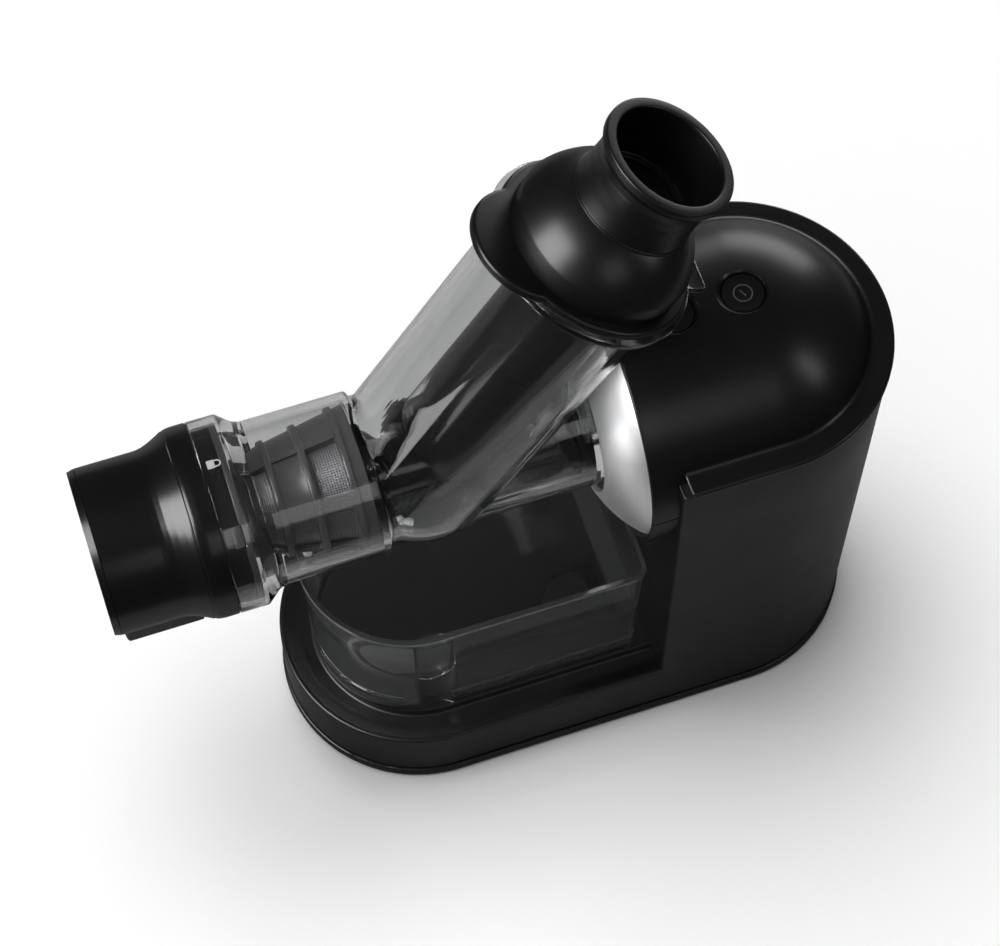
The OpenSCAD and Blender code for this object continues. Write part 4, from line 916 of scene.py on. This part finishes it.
def pusher_outline():
    """Plan of the pusher's plate: a circle with a round finger lobe that blends into it by small hollow
    corners."""
    r, lobe_r, off, hollow = 42.0, 26.0, 29.0, 3.0
    # Each hollow corner is a circle that touches both others from outside, with its middle at (-x, y).
    far, near = r + hollow, lobe_r + hollow
    x = (off ** 2 + far ** 2 - near ** 2) / (2 * off)
    y = math.sqrt(far ** 2 - x ** 2)
    a_big, a_small, to_big, to_small = (
        math.degrees(math.atan2(*pair)) for pair in ((y, -x), (y, off - x), (-y, x), (-y, x - off)))
    upper = arc(-x, y, hollow, to_big % 360, to_small % 360, 6)
    lower = upper[::-1] * (1, -1)
    return np.vstack([arc(0, 0, r, -a_big, a_big, 120)[:-1], upper[:-1],
                      arc(-off, 0, lobe_r, a_small, 360 - a_small, 64)[:-1], lower[:-1]])


def make_plate():
    """Pusher's plate with a rounded edge, and the dome over it: a short cylinder and a ball cap."""
    edge = np.vstack([arc(0.9, FEED_LEN + 0.05 + 0.9, -0.9, 90, 0, 4), arc(1.5, 151.5, -1.5, 0, -90, 6)])
    plate = slab("plate", on_tube(prism(pusher_outline(), edge)))
    ball_r, ball_s, dome_r, neck_r = 39.0, 151.0, 37.5, 25.4
    start, end = (math.degrees(math.asin(r / ball_r)) for r in (dome_r, neck_r))
    dome = arc(ball_s, 0, ball_r, start, end, 28)
    profile = np.vstack([[(150.5, 0), (150.5, dome_r), (153.0, dome_r)], dome,
                         [(dome[-1, 0], 24.0), (178.5, 24.0), (178.5, 0)]])
    body = raw_mesh("dome", [(lathe_tube(profile, angles=circle(160)), False, True)])
    place("plate_and_dome", merged("plate_and_dome", [plate, body]), "pusher", BLACK,
          "black_plastic", ["pusher_plate"], crease=30)


def make_grip():
    """Waisted cup: outer waist, flat rim with rounded edges, conical bore, ledge and the deeper steps."""
    profile = np.vstack([
        [(179.0, 0), (179.0, 25.4)],
        rounded([(180.0, 25.5), (181.4, 25.5), (181.6, 24.9), (188, 24.4), (194, 24.2), (199, 24.5),
                 (203, 25.6), (205.8, 27.5), (209, 27.5), (209, 23.1), (207.5, 22.9), (185.5, 21.9),
                 (183.6, 21.6), (183.6, 19.4), (181.5, 19.2)],
                [0, 0.4, 0.3, 6, 8, 8, 6, 1.2, 0.7, 0.7, 3, 1, 0.7, 0.4, 0], 5),
        [(181.5, 0)],
    ])
    mesh = raw_mesh("grip", [(lathe_tube(profile, angles=circle(160)), False, True)])
    place("grip", mesh, "pusher", BLACK, "black_plastic", ["pusher_grip"], crease=34)


# --- Juice container ---

def tub_outline(inset):
    """Plan of the container moved in by inset: half turn to the left, straight sides, square end with
    round corners, whose middles move in once their radius is down to half a millimetre."""
    past = max(0.0, inset - TUB_CORNER + 0.5)
    rr, cr = TUB_R - inset, TUB_CORNER - inset + past
    middle = TUB_END - TUB_CORNER - past
    half = TUB_R - TUB_CORNER - past
    side = np.linspace(middle, TUB_X, 29)[1:-1]
    face = np.linspace(-half, half, 13)[1:-1]
    return np.vstack([
        arc(TUB_X, 0, rr, 90, 270, 72),
        np.column_stack([side[::-1], np.full(len(side), -rr)]),
        arc(middle, -half, cr, 270, 360, 10),
        np.column_stack([np.full(len(face), TUB_END - inset), face]),
        arc(middle, half, cr, 0, 90, 10),
        np.column_stack([side, np.full(len(side), rr)]),
    ])


def tub_form(edge):
    """Closed solid from an edge of (inset, height): each ring is the container's plan moved in by the
    inset, and the two ends are closed by discs that shrink to a point."""
    wall = lifted(np.stack([tub_outline(i) for i in edge[:, 0]]), edge[:, 1])
    middle = np.array([4.0, 0.0])
    k = np.linspace(1, 0, 10)[:, None, None]

    def disc(ring):
        return lifted(middle + (ring[:, :2] - middle) * k, np.full(len(k), ring[0, 2]))

    return raw_mesh("tub_form", [(wall, False, True), (disc(wall[0]), False, True),
                                 (disc(wall[-1]), False, True)])


def tub_edge(inset=0.0):
    """Outer edge of the container from the foot band up to the rim's lip, moved in by an inset."""
    edge = rounded([(30, TUB_FOOT), (3.0, TUB_FOOT), (2.6, TUB_BAND), (3.6, TUB_BAND + 0.3),
                    (0.75, TUB_TOP - 2.2), (0.05, TUB_TOP - 2.0), (0.05, TUB_TOP), (30, TUB_TOP)],
                   [0, 0.8, 0.25, 0.3, 0.2, 0.3, 0.5, 0], 4)
    return np.column_stack([np.minimum(edge[:, 0] + inset, 30), edge[:, 1]])


def pocket(r, low, high, soft):
    """Upright round post in the container's front wall; its top edge is rounded."""
    profile = np.vstack([[(0, low), (r, low)], arc(r - soft, high - soft, soft, 0, 90, 6), [(0, high)]])
    return raw_mesh("pocket", [(lathe_z(profile, POCKET_X, POCKET_Y), False, True)])


def pocket_mouth():
    """Slab in front of the finger pocket with the opening's outline: straight sides, and above it the
    round lower edge of the tongue."""
    w, low = POCKET_HALF, TUB_FOOT - 2
    outline = np.vstack([[(-w, low), (w, low)], arc(0, TONGUE_Z + w, w, 360, 180, 24)])
    return slab("mouth", np.stack([
        np.column_stack([POCKET_X + outline[:, 0], np.full(len(outline), y), outline[:, 1]])
        for y in (-60.0, -40.0)]))


def make_tub():
    """Smoke-clear container: drafted walls over a foot band, with a lip round the rim. The front wall has
    a finger pocket: a round channel that opens to the front below a tongue, which is the outer wall
    left standing."""
    floor, pocket_top, wall = TUB_FOOT + TUB_FLOOR, 115.0, 2.0
    inside = rounded([(30, floor), (6.0, floor), (2.6, TUB_TOP - 0.8), (2.2, TUB_TOP + 1),
                      (30, TUB_TOP + 1)], [0, 2.5, 0.5, 0, 0], 5)
    shell = carve(tub_form(tub_edge()), [tub_form(inside)])
    back = carve(pocket(POCKET_R + wall, TUB_FOOT + 0.2, pocket_top + wall, 2.5),
                 [tub_form(tub_edge(0.25))], "INTERSECT")
    # The tongue is what this form, a wall's thickness inside the outer edge, leaves of the front wall.
    behind_tongue = tub_form(tub_edge(wall) * (1, 1.02) - (0, 1.2))
    room = carve(pocket(POCKET_R, TUB_FOOT - 2, pocket_top, 1.5),
                 [carve(behind_tongue, [pocket_mouth()], "UNION")], "INTERSECT")
    shell = carve(carve(shell, [back], "UNION"), [room])
    place("tub", shell, "juice_container", SMOKE, "smoke_plastic", ["juice_container"], crease=30)


# --- Finishes of the nodes that keep their own shape ---

KEPT = [
    (BLACK, ["base_plate", "chamber_hub", "tact_switches", "cooling_fan"]),
    (SLEEK, ["nose_carrier"]),
    (RUBBER, ["rubber_feet", "shaft_seal", "cord_grommet"]),
    (SILICONE, ["chamber_seal"]),
    (STEEL, ["base_screws", "front_gear_plate", "rear_gear_plate", "plate_posts", "layshaft_pins",
             "motor_bracket", "auger_shaft", "drive_socket"]),
    (IRON, ["motor_stator", "motor_rotor"]),
    (BRONZE, ["drive_bearings"]),
    (BOARD, ["control_board"]),
    (NYLON, ["cap_bush", "output_gear", "second_gear", "first_gear"]),
]


def finish_kept_nodes():
    """Gives the solids that show their own shape their materials."""
    for finish, names in KEPT:
        for name in names:
            mesh = NODES[name].data
            if not mesh.materials:
                mesh.materials.append(finish)
            for slot in NODES[name].material_slots:
                slot.material = finish


# --- Floor, light and camera ---

def make_floor():
    """Pale sheet under the juicer, laid three times, each for one kind of ray: as it is seen, and, smaller
    and darker, as it is seen through clear plastic and as it is mirrored. The mirrored sheet's darker tone
    is painted shade, so that reflections show the floor as dim as it is in the juicer's shade. None casts a
    shadow."""
    a = circle(96)
    rim = np.column_stack([np.cos(a), np.sin(a), np.zeros_like(a)])
    # The mirrored sheet's darker tone is painted shade.
    sheets = (("floor", 20000.0, 0.91, 0.0), ("floor_through", 620.0, 0.66, -0.4),
              ("floor_mirrored", 620.0, 0.60, -0.8))
    for name, reach, tone, depth in sheets:
        finish = Finish("pale_" + name, Roughness=0.6, Specular_IOR_Level=0.0)
        finish.feed("Base Color", finish.blend(finish.noise(3, 2), (tone - 0.01,) * 3, (tone + 0.01,) * 3))
        mesh = bpy.data.meshes.new(name)
        ring = rim * reach + np.array([0.0, 310.0, depth])
        mesh.from_pydata((ring * MM).tolist(), [], [list(range(len(a)))])
        mesh.materials.append(finish.material)
        floor = bpy.data.objects.new(name, mesh)
        floor.visible_camera = floor.visible_diffuse = name == "floor"
        floor.visible_transmission = name == "floor_through"
        floor.visible_glossy = name == "floor_mirrored"
        floor.visible_shadow = False
        bpy.context.scene.collection.objects.link(floor)


def direction(azimuth, elevation):
    """Unit vector towards a light: azimuth from the front towards the right, elevation from the horizon,
    in degrees."""
    a, e = math.radians(azimuth), math.radians(elevation)
    return Vector((math.sin(a) * math.cos(e), -math.cos(a) * math.cos(e), math.sin(e)))


def aimed(name, data, towards):
    """Object that looks away from a direction, linked to the scene."""
    thing = bpy.data.objects.new(name, data)
    thing.rotation_euler = (-towards).to_track_quat("-Z", "Y").to_euler()
    bpy.context.scene.collection.objects.link(thing)
    return thing


def make_lamp(name, aim, azimuth, elevation, distance, width, height, radiance):
    """Rectangular softbox that faces its aim and is there for the gloss alone. Its power is radiance times
    pi times the area."""
    reach = direction(azimuth, elevation)
    lamp = bpy.data.lights.new(name, "AREA")
    lamp.shape = "RECTANGLE"
    lamp.size, lamp.size_y = width, height
    lamp.energy = radiance * math.pi * width * height
    thing = aimed(name, lamp, reach)
    thing.location = Vector(aim) + reach * distance
    thing.visible_camera = thing.visible_diffuse = False


def make_sun(name, azimuth, elevation, spread, irradiance):
    """Far light of a wide angle, for soft shadows, left out of reflections."""
    lamp = bpy.data.lights.new(name, "SUN")
    lamp.angle = math.radians(spread)
    lamp.energy = irradiance
    thing = aimed(name, lamp, direction(azimuth, elevation))
    thing.visible_glossy = thing.visible_transmission = False


def light_scene():
    """Dim even surroundings, wide suns for the floor's soft shadows, and softboxes for the highlights.
    Places and lengths are in metres."""
    world = bpy.data.worlds.new("studio")
    world.use_nodes = True
    background = world.node_tree.nodes["Background"]
    background.inputs["Color"].default_value = (1, 1, 1, 1)
    background.inputs["Strength"].default_value = 0.05
    bpy.context.scene.world = world
    bpy.context.scene.view_settings.view_transform = "Standard"
    make_sun("overhead", -150, 74, 38, 2.30)
    make_sun("wide_overhead", -108, 60, 100, 1.30)
    make_lamp("left_softbox", (0, 0, 0.3), -84, 36, 1.3, 0.9, 1.0, 12.0)
    make_lamp("left_low", (0.05, 0, 0.2), -86, -14, 0.75, 0.40, 0.16, 3.5)
    make_lamp("front_high", (0, 0, 0.3), 8, 32, 1.2, 0.50, 0.50, 1.2)
    make_lamp("right_strip", (0.04, 0, 0.33), 53, 22, 1.2, 0.10, 0.5, 8.0)
    make_lamp("back_right", (0.1, 0, 0.2), 145, 8, 1.3, 1.0, 0.5, 5.0)


def make_camera():
    """Camera above the front, to the left, level."""
    camera = bpy.data.cameras.new("camera")
    camera.sensor_fit = "HORIZONTAL"
    camera.sensor_width = 36.0
    camera.lens = 100.29
    camera.clip_start, camera.clip_end = 0.01, 50
    stand, aim = Vector((-0.16915, -0.51608, 1.25195)), Vector((0.0195, 0.0472, 0.065))
    thing = aimed("camera", camera, stand - aim)
    thing.location = stand
    bpy.context.scene.camera = thing


make_camera()
light_scene()
make_floor()
make_tray()
make_tower()
make_collar()
make_hood()
make_lip()
make_cone()
make_button("power_cap", POWER_X, "power_button")
make_button("reverse_cap", REVERSE_X, "reverse_button")
make_symbol("power_symbol", POWER_X, "power_button", "power")
make_symbol("reverse_symbol", REVERSE_X, "reverse_button", "reverse")
make_chamber()
make_stop()
make_lock_mark()
make_cage()
make_sieve()
make_auger()
make_cap()
make_plunger()
make_plate()
make_grip()
make_tub()
finish_kept_nodes()
